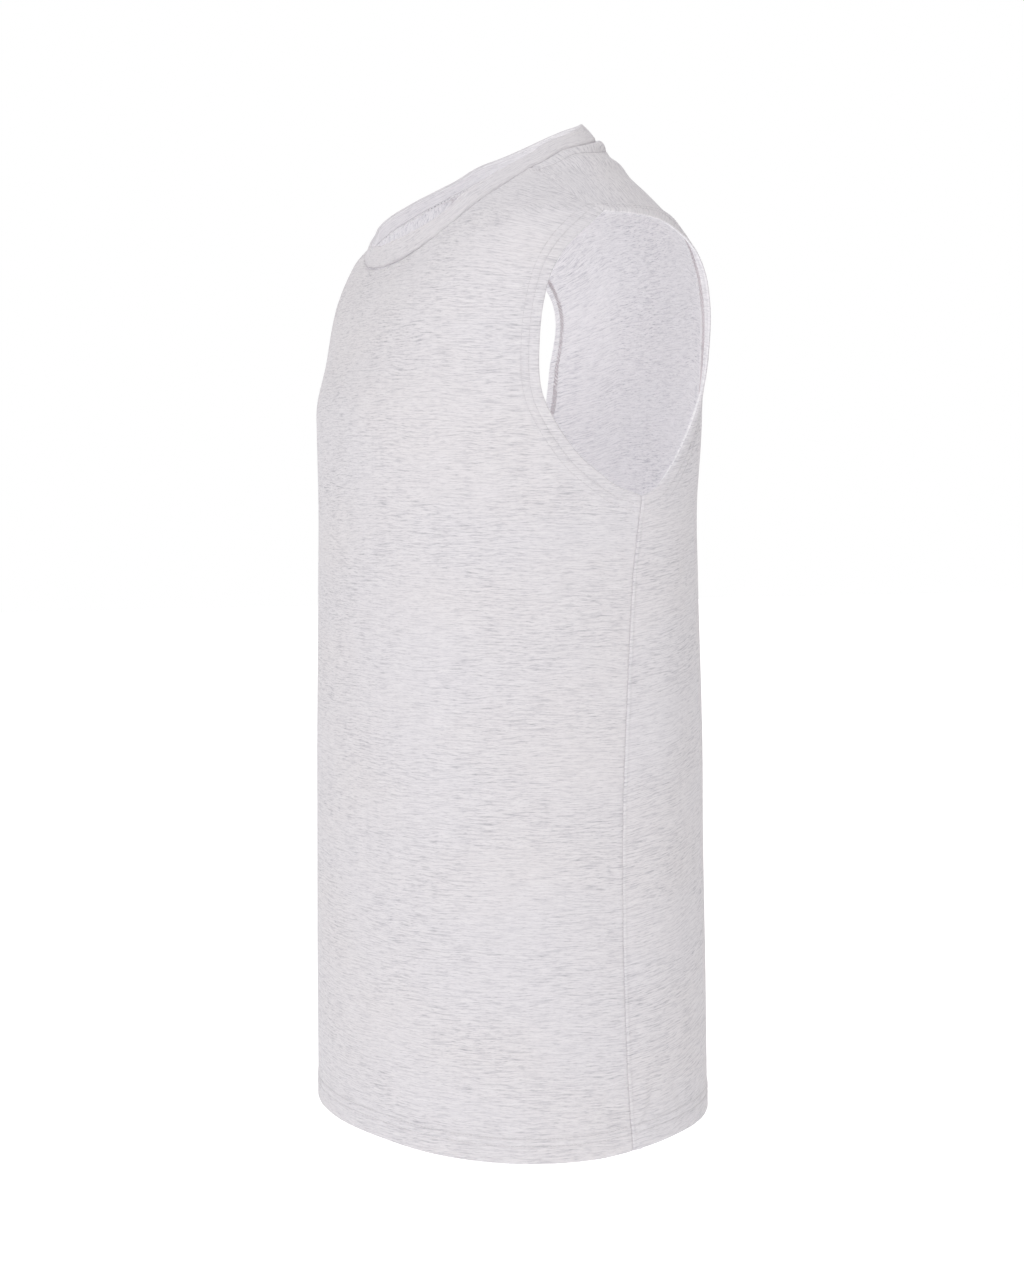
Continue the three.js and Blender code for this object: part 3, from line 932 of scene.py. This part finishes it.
def jersey(name, colours, grain, streaks):
    """Single jersey knitted from grey heather yarn, with its own streaks and loops."""
    s = Shader(bpy.data.materials.new(name))
    cut = s.node("ShaderNodeAttribute", {"attribute_name": "cut"}, None, "Vector")
    parts = s.node("ShaderNodeSeparateXYZ", None, {0: cut})
    inside = parts.out("Z")
    layered = s.vector("MULTIPLY", cut, (1, 1, FACES_APART))
    lift = (s.noise(layered, (0.028, 0.05, 1)) - 0.5) * STREAK_WANDER
    bent = s.vector("ADD", layered, s.node("ShaderNodeCombineXYZ", None, {"Y": lift}))
    long_streak = s.noise(bent, (0.055, 0.74, 1), 3.0, 0.6)
    short_streak = s.noise(bent, (0.125, 1.15, 1), 3.0, 0.65)
    fleck = s.noise(bent, (0.28, 1.8, 1), 2.0, 0.6)
    cloud = s.noise(layered, (0.013, 0.02, 1), 3.0, 0.55)
    dark = s.between(long_streak, 0.47, 0.7) * 0.5 + s.between(short_streak, 0.48, 0.7) * 0.62
    dark = dark * (s.between(cloud, 0.25, 0.75) * 0.7 + 0.5) + s.between(fleck, 0.52, 0.74) * 0.34
    light = s.between(long_streak, 0.5, 0.3) * 0.7 + s.between(fleck, 0.48, 0.3) * 0.5
    base = s.mix(inside, colours.yarn, colours.inner_yarn)
    tint = s.noise(layered, (0.006, 0.011, 1))
    warmed = s.mix(s.between(tint, 0.35, 0.65) * 0.5, base, colours.warm_yarn)
    warmed = s.mix(inside * 0.6, warmed, colours.inner_yarn)
    pale = s.mix(light * (0.6 * streaks), warmed, colours.light_fibre)
    shade = s.mix(dark * (inside * 0.08 + 0.76) * streaks, pale, colours.dark_fibre)
    # Painted glow: the inner face emits light in place of the light that comes through the thin cloth
    glow = s.vector("MULTIPLY", shade, s.mix(inside, BLACK, colours.inner_painted_glow))
    # Loops of the knit: wales side by side and courses one above the other
    wale = s.wave(parts.out("X"), WALE_WIDTH)
    course = s.wave(parts.out("Y"), COURSE_HEIGHT)
    fuzz = s.noise(layered, (1.4, 1.9, 1), 3.0, 0.6)
    height = wale * course * 0.22 + long_streak * 0.5 + fuzz * 0.8 + short_streak * 0.45
    return s.finish(
        {
            "Base Color": shade,
            "Roughness": 0.93,
            "Normal": s.bumps(grain, LOOP_DEPTH, height),
            "Emission Color": glow,
            "Emission Strength": 1.0,
            "Sheen Weight": 0.12,
            "Sheen Roughness": 0.5,
            "Specular IOR Level": 0.18,
        }
    )


def thread_cloth(name, colour, glow=0.0):
    """Spun sewing thread with a fine twist, and a painted glow in place of the light that reaches it
    through the cloth.
    """
    s = Shader(bpy.data.materials.new(name))
    cut = s.node("ShaderNodeAttribute", {"attribute_name": "cut"}, None, "Vector")
    twist = s.noise(cut, (1.1, 1.1, 1))
    darker = tuple(c * 0.86 for c in colour[:3]) + (1.0,)
    return s.finish(
        {
            "Base Color": s.mix(s.between(twist, 0.35, 0.65), tuple(colour), darker),
            "Roughness": 0.75,
            "Normal": s.bumps(0.3, TWIST_DEPTH, twist),
            "Specular IOR Level": 0.25,
            "Emission Color": tuple(colour),
            "Emission Strength": glow,
        }
    )


def pale_surface(name, colour):
    """A plain matt backdrop that shines a little, with hardly visible unevenness."""
    s = Shader(bpy.data.materials.new(name))
    cloud = s.noise(s.node("ShaderNodeTexCoord", None, None, "Object"), (1.5, 1.5, 1.5))
    lighter = tuple(min(1.0, c * 1.01) for c in colour[:3]) + (1.0,)
    return s.finish(
        {
            "Base Color": s.mix(cloud, tuple(colour), lighter),
            "Roughness": 0.95,
            "Specular IOR Level": 0.1,
            "Emission Color": (0.42, 0.42, 0.42, 1),
            "Emission Strength": 1.0,
        }
    )


def length_setting(name, description, millimetres):
    """A setting for a length, stated in millimetres."""
    return FloatProperty(name=name, description=description, default=millimetres * MM, unit="LENGTH")


def colour_setting(name, description, default):
    """A setting for a colour."""
    opaque = (*default, 1)
    return FloatVectorProperty(
        name=name, description=description, subtype="COLOR", size=4, default=opaque
    )


class JerseyTopSizes(bpy.types.PropertyGroup):
    """Sizes of the cloth, its turned edges and its stitching."""

    cloth_thickness: length_setting("Cloth thickness", "Thickness of the single jersey", 0.9)
    turned_thickness: length_setting(
        "Turned thickness", "Thickness where an edge is turned in", 2.0
    )
    hem_depth: length_setting("Hem depth", "Height of the turned hem", 19)
    armhole_turning: length_setting("Armhole turning", "Depth of the turned armhole edge", 13.5)
    needle_gauge: length_setting(
        "Needle gauge", "Distance between the two rows of needle stitches", 5.4
    )
    band_width: length_setting("Neckband width", "Neckband from the seam to the fold", 16.5)
    band_thickness: length_setting("Neckband thickness", "Thickness of the folded neckband", 2.3)
    band_crown: length_setting(
        "Neckband crown", "How far the band's face swells between seam and fold", 0.55
    )
    allowance: length_setting(
        "Seam allowance", "Width of the trimmed and overlocked seam allowances", 7.5
    )
    stitch_length: length_setting("Stitch length", "Length of one needle stitch", 3.0)
    thread_radius: length_setting("Thread radius", "Half the thickness of the sewing thread", 0.17)
    band_steps: IntProperty(
        name="Neckband steps",
        description="Steps round half the neckband",
        default=170,
        min=40,
    )


class JerseyTopColours(bpy.types.PropertyGroup):
    """Colours of the heather yarn, the thread and the backdrop."""

    yarn: colour_setting("Yarn", "Main colour of the heather yarn", (0.735, 0.72, 0.745))
    warm_yarn: colour_setting("Warm yarn", "Warmer patches of the yarn", (0.745, 0.72, 0.728))
    inner_yarn: colour_setting(
        "Inner face", "Colour of the purl side of the cloth", (0.70, 0.692, 0.708)
    )
    # A painted glow: the inner face emits this colour in place of light through the cloth
    inner_painted_glow: colour_setting(
        "Light through the cloth",
        "Light that the thin cloth lets through to its inner face",
        (0.31, 0.308, 0.31),
    )
    dark_fibre: colour_setting("Dark fibre", "Grey fibres in the heather", (0.36, 0.355, 0.395))
    light_fibre: colour_setting(
        "Light fibre", "Nearly white fibres in the heather", (0.82, 0.807, 0.825)
    )
    thread: colour_setting("Thread", "Needle thread", (0.66, 0.645, 0.67))
    seam_thread: colour_setting(
        "Seam thread", "Stitches that join the neckband to the panels", (0.30, 0.285, 0.32)
    )
    looper_thread: colour_setting(
        "Looper thread", "Thread on the inside of the turned edges", (0.77, 0.70, 0.73)
    )
    backdrop: colour_setting("Backdrop", "Floor and surroundings", (0.965, 0.965, 0.97))


BUILT = {}


def material(name):
    """The named finish of the top, made once."""
    colours = bpy.context.scene.jersey_top_colours
    recipes = {
        "heather cloth": (jersey, colours, 0.5, 1.0),
        "neckband cloth": (jersey, colours, 0.45, 0.72),
        "needle thread": (thread_cloth, colours.thread),
        "seam thread": (thread_cloth, colours.seam_thread),
        # The looper thread has a painted glow, so it is not darker than the glowing inner face
        "looper thread": (thread_cloth, colours.looper_thread, 0.14),
        "backdrop": (pale_surface, colours.backdrop),
    }
    if name not in BUILT:
        make, *values = recipes[name]
        BUILT[name] = make(name, *values)
    return BUILT[name]


def neck_ring(count):
    """Places, normals and directions round the neckline, its share front to back and its run."""
    front = TRACKS["front_neck"]
    back = TRACKS["back_neck"]
    total = front.length + back.length
    run = np.linspace(0, total, count + 1)
    on_front = run <= front.length
    fa, fh = front.at(np.clip(run / front.length, 0, 1))
    ba, bh = back.at(np.clip(1 - (run - front.length) / back.length, 0, 1))
    angle = np.where(on_front, fa, ba)
    height = np.where(on_front, fh, bh)
    left = form_points(angle, height)
    left[[0, -1], 0] = 0
    normals = form_normals(angle, height)
    points = np.concatenate([left, left[-2:0:-1] * MIRROR])
    normals = np.concatenate([normals, normals[-2:0:-1] * MIRROR])
    tangent = unit(np.roll(points, -1, axis=0) - np.roll(points, 1, axis=0))
    share = run / total
    share = np.concatenate([share, share[-2:0:-1]])
    return points, normals, tangent, share, np.concatenate([run, 2 * run[-1] - run[-2:0:-1]])


def even_out(ways, run, reach):
    """Directions round a closed line, averaged with their neighbours within reach."""
    total = run[-1] + (run[1] - run[0])
    gap = np.abs(run[:, None] - run[None, :])
    gap = np.minimum(gap, total - gap)
    return unit(np.exp(-((gap / reach) ** 2)) @ ways)


def neck_frames(count):
    """Places round the whole neckline, with the band's directions up and across, and the run."""
    points, _, tangent, share, run = neck_ring(count)
    inward = unit(np.cross(UP, tangent))
    upright = unit(np.cross(tangent, inward))
    lean = np.radians(smooth_line([r[0] for r in BAND_LEAN], [r[1] for r in BAND_LEAN])(share))
    lean = lean[:, None]
    rising = even_out(upright * np.cos(lean) + inward * np.sin(lean), run, LEAN_REACH)
    deep = inward * np.cos(lean) - upright * np.sin(lean)
    across = even_out(tangent, run, TANGENT_REACH)
    return points, rising, facing(unit(np.cross(rising, across)), deep), run


# Where each piece's cloth lies in the knit's pattern, and how the back's courses climb, in mm
COURSE_CLIMB = 0.17
LEVEL_REACH = 70
BACK_PLACE = 900
BAND_PLACE = 2000
STRIP_PLACE = 3000


class JERSEYTOP_OT_panels(bpy.types.Operator):
    """Build the front and back panels with their turned edges and creases"""

    bl_idname = "jersey_top.panels"
    bl_label = "Front and Back Panels"

    def execute(self, context):
        cloth = material("heather cloth")
        for front in (True, False):
            points, faces, cut = Panel(front, context.scene.jersey_top_sizes).mesh_parts()
            name = "front_panel" if front else "back_panel"
            BUILT[name + "_cut"] = flat_sheet(cut, faces)
            if not front:
                # The back's courses climb from the side seams towards the middle
                beyond = np.maximum(np.abs(cut[:, 0]) - LEVEL_REACH, 0)
                cut[:, 1] = cut[:, 1] + COURSE_CLIMB * beyond
                cut[:, 0] = cut[:, 0] + BACK_PLACE
            made = build_object(name + "_cloth", points, faces, cut, cloth)
            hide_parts(name)
            BUILT[name + "_cloth"] = made
            BUILT[name + "_skin"] = Skin(made)
        return {"FINISHED"}


class JERSEYTOP_OT_neckband(bpy.types.Operator):
    """Build the folded neckband"""

    bl_idname = "jersey_top.neckband"
    bl_label = "Neckband"

    def execute(self, context):
        sizes = context.scene.jersey_top_sizes
        width = sizes.band_width / MM
        thick = sizes.band_thickness / MM
        crown = sizes.band_crown / MM
        base, rising, deep, run = neck_frames(sizes.band_steps)
        profile = []
        for t in np.linspace(0, 1, 12):
            dip = 0.85 * math.exp(-((t * width / 0.9) ** 2))
            swell = crown * math.sin(math.pi * t**0.85)
            profile.append((0.05 + t * (width - thick / 2), dip - swell))
        reach = thick / 2
        for turn in np.linspace(-80, 80, 7):
            angle = math.radians(turn)
            rise = width - reach + reach * math.cos(angle)
            profile.append((rise, reach + reach * math.sin(angle)))
        for t in np.linspace(1, 0, 10):
            swell = 0.25 * math.sin(math.pi * t)
            profile.append((0.2 + t * (width - thick / 2), thick + swell))
        profile = np.array(profile)
        middle = np.exp(-(((profile[:, 0] - width * 0.5) / (width * 0.4)) ** 2))
        ripple = 0.10 * pucker(run, 11.0, 0.7)[:, None] * middle[None, :]
        ripple = ripple + 0.12 * pucker(run, 6.3, 2.2)[:, None] * np.exp(-profile[None, :, 0] / 3)
        rise = profile[None, :, 0, None]
        depth = (profile[None, :, 1] - ripple)[..., None]
        points = base[:, None] + rising[:, None] * rise + deep[:, None] * depth
        faces = np.roll(ring_faces(len(base), len(profile), True)[:, ::-1], 1, axis=1)
        cut = np.zeros(points.shape)
        cut[..., 0] = run[:, None] + BAND_PLACE
        cut[..., 1] = run_along(profile)
        cut[..., 2] = profile[:, 1] > thick * 0.75
        cloth = material("neckband cloth")
        made = build_object("neckband_cloth", points.reshape(-1, 3), faces, cut.reshape(-1, 3), cloth)
        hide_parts("neckband")
        BUILT["neckband_cloth"] = made
        return {"FINISHED"}


# Seam allowances in millimetres, and how far out the panels' inner faces are looked for
STRIP_COLUMNS = 9
NECK_STRIP_STEPS = 150
NECK_STRIP_THICKNESS = 1.3
STRIP_THICKNESS = 1.2
NECK_CRIMP = 0.12
CRIMP = 0.1
INNER_START = 8
INNER_REACH = 14

# Stitches in millimetres
SEAM_STEP = 2.9
SEAM_INSET = 0.9
SEAM_THREAD = 0.24
OVERLOCK_STEP = 2.4
OVERLOCK_THREAD = 0.16
OVERLOCK_SHARES = (0.97, 0.42)
LOOPER_STEP = 3.0
LOOPER_THREAD = 0.15

# Places that the seams' free edges point away from
NECK_CENTRE = np.array([0, 15.0, 60.0])
ARM_CENTRE = np.array([150, 25.0, -140.0])


def strip_along(name, lines, sizes, cloth, closed, inner):
    """A flat strip of allowance that lies on the inner face beside a seam."""
    base, out, aside, run = lines
    thick, width, crimp = sizes
    shares = np.linspace(0, 1, STRIP_COLUMNS)
    points = []
    for i in range(len(base)):
        row = np.array([inner(base[i] + aside[i] * (width * t), out[i]) for t in shares])
        wave = crimp * math.sin(run[i] * 1.9) * shares
        face = row - out[i] * (thick + wave)[:, None]
        face[-1] = row[-1] - out[i] * thick * 0.25
        face[0] = row[0] - out[i] * thick * 0.6
        points.append(np.concatenate([face, (row + out[i] * 0.15)[::-1]]))
    points = np.array(points)
    count, around, _ = points.shape
    faces = ring_faces(count, around, closed).tolist()
    if not closed:
        faces.append(range(around - 1, -1, -1))
        faces.append(range((count - 1) * around, count * around))
    cut = np.ones(points.shape)
    cut[..., 0] = run[:, None] + STRIP_PLACE
    cut[..., 1] = np.concatenate([shares, shares[::-1]]) * width
    made = build_object(name, points.reshape(-1, 3), faces, cut.reshape(-1, 3), cloth)
    return made


class JERSEYTOP_OT_allowances(bpy.types.Operator):
    """Build the overlocked seam allowances inside the neck, shoulders and sides"""

    bl_idname = "jersey_top.allowances"
    bl_label = "Seam Allowances"

    def execute(self, context):
        sizes = context.scene.jersey_top_sizes
        width = sizes.allowance / MM
        cloth = material("heather cloth")
        looper = material("looper thread")
        trees = [BUILT[name + "_skin"].tree for name in ("front_panel", "back_panel")]

        def inner(spot, out):
            """The place on the panels' inner faces, seen from inside the top."""
            start = Vector(spot - out * INNER_START)
            hits = [tree.ray_cast(start, Vector(out), INNER_REACH) for tree in trees]
            hits = [hit for hit in hits if hit[0] is not None]
            if not hits:
                return spot - out * (sizes.cloth_thickness / MM)
            return np.array(min(hits, key=lambda hit: hit[3])[0])

        threads = Threads()
        base, out, tangent, _, run = neck_ring(NECK_STRIP_STEPS)
        lines = (base, out, facing(unit(np.cross(out, tangent)), base - NECK_CENTRE), run)
        strip = (NECK_STRIP_THICKNESS, width, NECK_CRIMP)
        BUILT["neck_allowance"] = strip_along("neck_allowance", lines, strip, cloth, True, inner)
        self.overlock(threads, lines, inner, width, 1.45)
        BUILT["neck_seam_stitches"] = self.seam_row(lines, inner)
        BUILT["strips"] = []
        for label, start, stop, away in (
            ("shoulder", 0.07, 0.99, (0, 1.0, 0.3)),
            ("side", 0.0, 0.995, (0, 1.0, 0)),
        ):
            track = TRACKS[label]
            share = np.linspace(start, stop, max(40, round(track.length / 3)))
            a, h = track.at(share)
            base = form_points(a, h)
            out = form_normals(a, h)
            aside = facing(unit(np.cross(out, unit(np.gradient(base, axis=0)))), np.array(away))
            run = share * track.length
            for flip, word in (((1, 1, 1), "left"), (MIRROR, "right")):
                lines = (base * flip, out * flip, aside * flip, run)
                name = f"{word}_{label}_allowance"
                strip = (STRIP_THICKNESS, width, CRIMP)
                BUILT["strips"].append(strip_along(name, lines, strip, cloth, False, inner))
                self.overlock(threads, lines, inner, width, 1.3)
        BUILT["overlock_threads"] = threads.build("overlock_threads", looper)
        return {"FINISHED"}

    def seam_row(self, lines, inner):
        """The row of short stitches that joins the band, along the top of the neck allowance."""
        base, out, aside, run = lines
        threads = Threads()
        for start in np.arange(0, run[-1] - 2, SEAM_STEP):
            path = []
            for ahead, lift in ((0, 0.75), (0.5, 1.2), (1.4, 1.2), (1.9, 0.75)):
                place = start + ahead
                way = unit(read_rows(place, run, out))
                beside = unit(read_rows(place, run, aside))
                spot = read_rows(place, run, base) + beside * SEAM_INSET
                path.append(inner(spot, way) - way * lift)
            threads.add(path, SEAM_THREAD)
        return threads.build("neck_seam_stitches", material("seam thread"))

    def overlock(self, threads, lines, inner, width, lift):
        """Looper threads that wrap the free edge of an allowance."""
        base, out, aside, run = lines
        path = []
        for n, place in enumerate(np.arange(0, run[-1], OVERLOCK_STEP / 2)):
            i = min(int(np.searchsorted(run, place)), len(run) - 1)
            t = OVERLOCK_SHARES[n % 2]
            near = lift + 0.12 if n % 2 else lift * 0.75
            spot = inner(base[i] + aside[i] * (width * t), out[i])
            if i:
                share = (place - run[i - 1]) / max(run[i] - run[i - 1], 1e-6)
                before = inner(base[i - 1] + aside[i - 1] * (width * t), out[i - 1])
                spot = before + (spot - before) * min(max(share, 0), 1)
            path.append(spot - out[i] * near)
        threads.add(path, OVERLOCK_THREAD, 4)


class JERSEYTOP_OT_stitching(bpy.types.Operator):
    """Sew the hem, the armholes and the back neck"""

    bl_idname = "jersey_top.stitching"
    bl_label = "Stitching"

    def execute(self, context):
        sizes = context.scene.jersey_top_sizes
        hem_line = sizes.hem_depth / MM - LINE_INSET
        arm_line = sizes.armhole_turning / MM - LINE_INSET
        gauge = sizes.needle_gauge / MM
        needles = {"hem": Threads(), "armhole": Threads(), "neck": Threads()}
        loopers = {"hem": Threads(), "armhole": Threads()}
        share = np.linspace(0, 1, 240)
        for front in (True, False):
            word = "front" if front else "back"
            skin = BUILT[word + "_panel_skin"]
            for label, track, line in (
                ("hem", TRACKS[word + "_hem"], hem_line),
                ("armhole", TRACKS[word + "_arm"], arm_line),
            ):
                a, h = track.at(share)
                away = UP
                if label == "armhole":
                    away = (form_points(a, h) - ARM_CENTRE) * (0.2, 1, 1)
                rows = [offset_line(a, h, line - d, away) for d in (0, gauge)]
                for mirror in (1, -1):
                    for points, normals in rows:
                        needle_line(needles[label], skin, points, normals, sizes, mirror)
                    for seed in (0.0, 1.3):
                        zigzag(loopers[label], skin, rows, mirror, seed)
                        rows = rows[::-1]
        a, h = TRACKS["back_neck"].at(share)
        away = form_points(a, h) - NECK_CENTRE
        points, normals = offset_line(a, h, BACK_NECK_LINE, away)
        skin = BUILT["back_panel_skin"]
        for mirror in (1, -1):
            needle_line(needles["neck"], skin, points, normals, sizes, mirror)
        for label, threads in needles.items():
            BUILT[label + "_stitches"] = threads.build(label + "_stitches", material("needle thread"))
        for label, threads in loopers.items():
            BUILT[label + "_loopers"] = threads.build(label + "_loopers", material("looper thread"))
        return {"FINISHED"}


# Camera: where it stands in millimetres, and how it looks at the top
VIEW_TURN = 70.0
VIEW_DROP = 4.16
VIEW_DISTANCE = 1800.0
VIEW_CENTRE = (0.0, 12.0, -223.0)
FOCAL_PIXELS = 2350.0
IMAGE_HEIGHT = 1286.0
SENSOR = 36.0

# Floor and light in metres, watts and degrees. Each part of the room's light has a direction,
# how close to it the light starts and is full, and a colour.
FLOOR_REACH = 14.0
FLOOR_LEVEL = -1.15
ROOM = (0.27, 0.25, 0.235, 1)
ROOM_LIGHTS = (
    ((0.15, -0.15, 0.98), 0.15, 0.9, (1.0, 0.99, 1.0, 1)),
    ((-0.94, 0.34, -0.07), 0.8, 0.93, (1.0, 1.0, 1.0, 1)),
)
KEY_ASIDE = -20
KEY_HEIGHT = 36
KEY_DISTANCE = 3.4
KEY_SIZE = 2.2
KEY_POWER = 25
KEY_COLOUR = (1, 0.995, 1.0)
KEY_TARGET = (0, 0, -0.35)


class JERSEYTOP_OT_stage(bpy.types.Operator):
    """Set up the floor, the soft studio light and the camera"""

    bl_idname = "jersey_top.stage"
    bl_label = "Stage"

    def execute(self, context):
        scene = context.scene
        scene.view_settings.view_transform = "Standard"
        scene.world = bpy.data.worlds.new("studio")
        self.surroundings(scene.world)
        mesh = bpy.data.meshes.new("floor")
        corners = [(x, y, FLOOR_LEVEL) for x, y in ((-1, -1), (1, -1), (1, 1), (-1, 1))]
        corners = [(x * FLOOR_REACH, y * FLOOR_REACH, z) for x, y, z in corners]
        mesh.from_pydata(corners, [], [(0, 1, 2, 3)])
        mesh.materials.append(material("backdrop"))
        self.placed("floor", mesh)
        turn = math.radians(VIEW_TURN)
        drop = math.radians(VIEW_DROP)
        ahead = Vector((-math.sin(turn), math.cos(turn), 0))
        self.key_light(ahead)
        data = bpy.data.cameras.new("camera")
        data.lens = FOCAL_PIXELS / IMAGE_HEIGHT * SENSOR
        data.sensor_width = SENSOR
        data.clip_start = 0.05
        data.clip_end = 60
        scene.camera = self.placed("camera", data)
        scene.camera.location = (Vector(VIEW_CENTRE) - ahead * VIEW_DISTANCE) * MM
        self.turn_to(scene.camera, ahead * math.cos(drop) - Vector(UP) * math.sin(drop))
        return {"FINISHED"}

    def placed(self, name, data):
        """A new object in the scene."""
        made = bpy.data.objects.new(name, data)
        bpy.context.scene.collection.objects.link(made)
        return made

    def turn_to(self, made, way):
        """Turns a lamp or a camera to look along a direction."""
        made.rotation_mode = "QUATERNION"
        made.rotation_quaternion = way.to_track_quat("-Z", "Y")

    def surroundings(self, world):
        """A pale grey room with a white ceiling and a white backdrop behind the top."""
        s = Shader(world)
        place = s.node("ShaderNodeTexCoord", None, None, "Generated")
        shade = ROOM
        for way, low, high, bright in ROOM_LIGHTS:
            towards = s.vector("DOT_PRODUCT", place, way, "Value")
            shade = s.mix(s.between(towards, low, high), shade, bright)
        background = s.node("ShaderNodeBackground", None, {"Color": shade})
        s.node("ShaderNodeOutputWorld", None, {"Surface": background})

    def key_light(self, ahead):
        """One large soft lamp, turned from the camera's side and raised."""
        data = bpy.data.lights.new("key", "AREA")
        data.shape = "SQUARE"
        data.size = KEY_SIZE
        data.energy = KEY_POWER
        data.color = KEY_COLOUR
        lamp = self.placed("key", data)
        way = Matrix.Rotation(math.radians(KEY_ASIDE), 3, "Z") @ -ahead
        rise = math.radians(KEY_HEIGHT)
        way = way * math.cos(rise) + Vector(UP) * math.sin(rise)
        lamp.location = Vector(KEY_TARGET) + way * KEY_DISTANCE
        self.turn_to(lamp, -way)
        return lamp


class JERSEYTOP_PT_panel(bpy.types.Panel):
    """Sidebar panel with the steps that build the top"""

    bl_idname = "JERSEYTOP_PT_panel"
    bl_label = "Jersey Top"
    bl_space_type = "VIEW_3D"
    bl_region_type = "UI"
    bl_category = "Jersey Top"

    def draw(self, context):
        layout = self.layout
        for owner in (context.scene.jersey_top_sizes, context.scene.jersey_top_colours):
            box = layout.box()
            for name in owner.__annotations__:
                box.prop(owner, name)
        for step in STEPS:
            layout.operator(step.bl_idname)


STEPS = (
    JERSEYTOP_OT_panels,
    JERSEYTOP_OT_neckband,
    JERSEYTOP_OT_allowances,
    JERSEYTOP_OT_stitching,
    JERSEYTOP_OT_stage,
)
CLASSES = (JerseyTopSizes, JerseyTopColours, *STEPS, JERSEYTOP_PT_panel)


def register():
    """Registers the classes and their settings."""
    for kind in CLASSES:
        bpy.utils.register_class(kind)
    bpy.types.Scene.jersey_top_sizes = PointerProperty(type=JerseyTopSizes)
    bpy.types.Scene.jersey_top_colours = PointerProperty(type=JerseyTopColours)


def unregister():
    """Removes the classes and their settings."""
    del bpy.types.Scene.jersey_top_colours
    del bpy.types.Scene.jersey_top_sizes
    for kind in reversed(CLASSES):
        bpy.utils.unregister_class(kind)


def declare_sheets():
    """Reads the run round the whole neckline and does nothing more with it."""
    sizes = bpy.context.scene.jersey_top_sizes
    run = neck_ring(sizes.band_steps)[-1]


def main():
    """Builds the top step by step."""
    register()
    bpy.ops.jersey_top.panels()
    bpy.ops.jersey_top.neckband()
    bpy.ops.jersey_top.allowances()
    bpy.ops.jersey_top.stitching()
    bpy.ops.jersey_top.stage()
    declare_sheets()


if __name__ == "__main__":
    main()
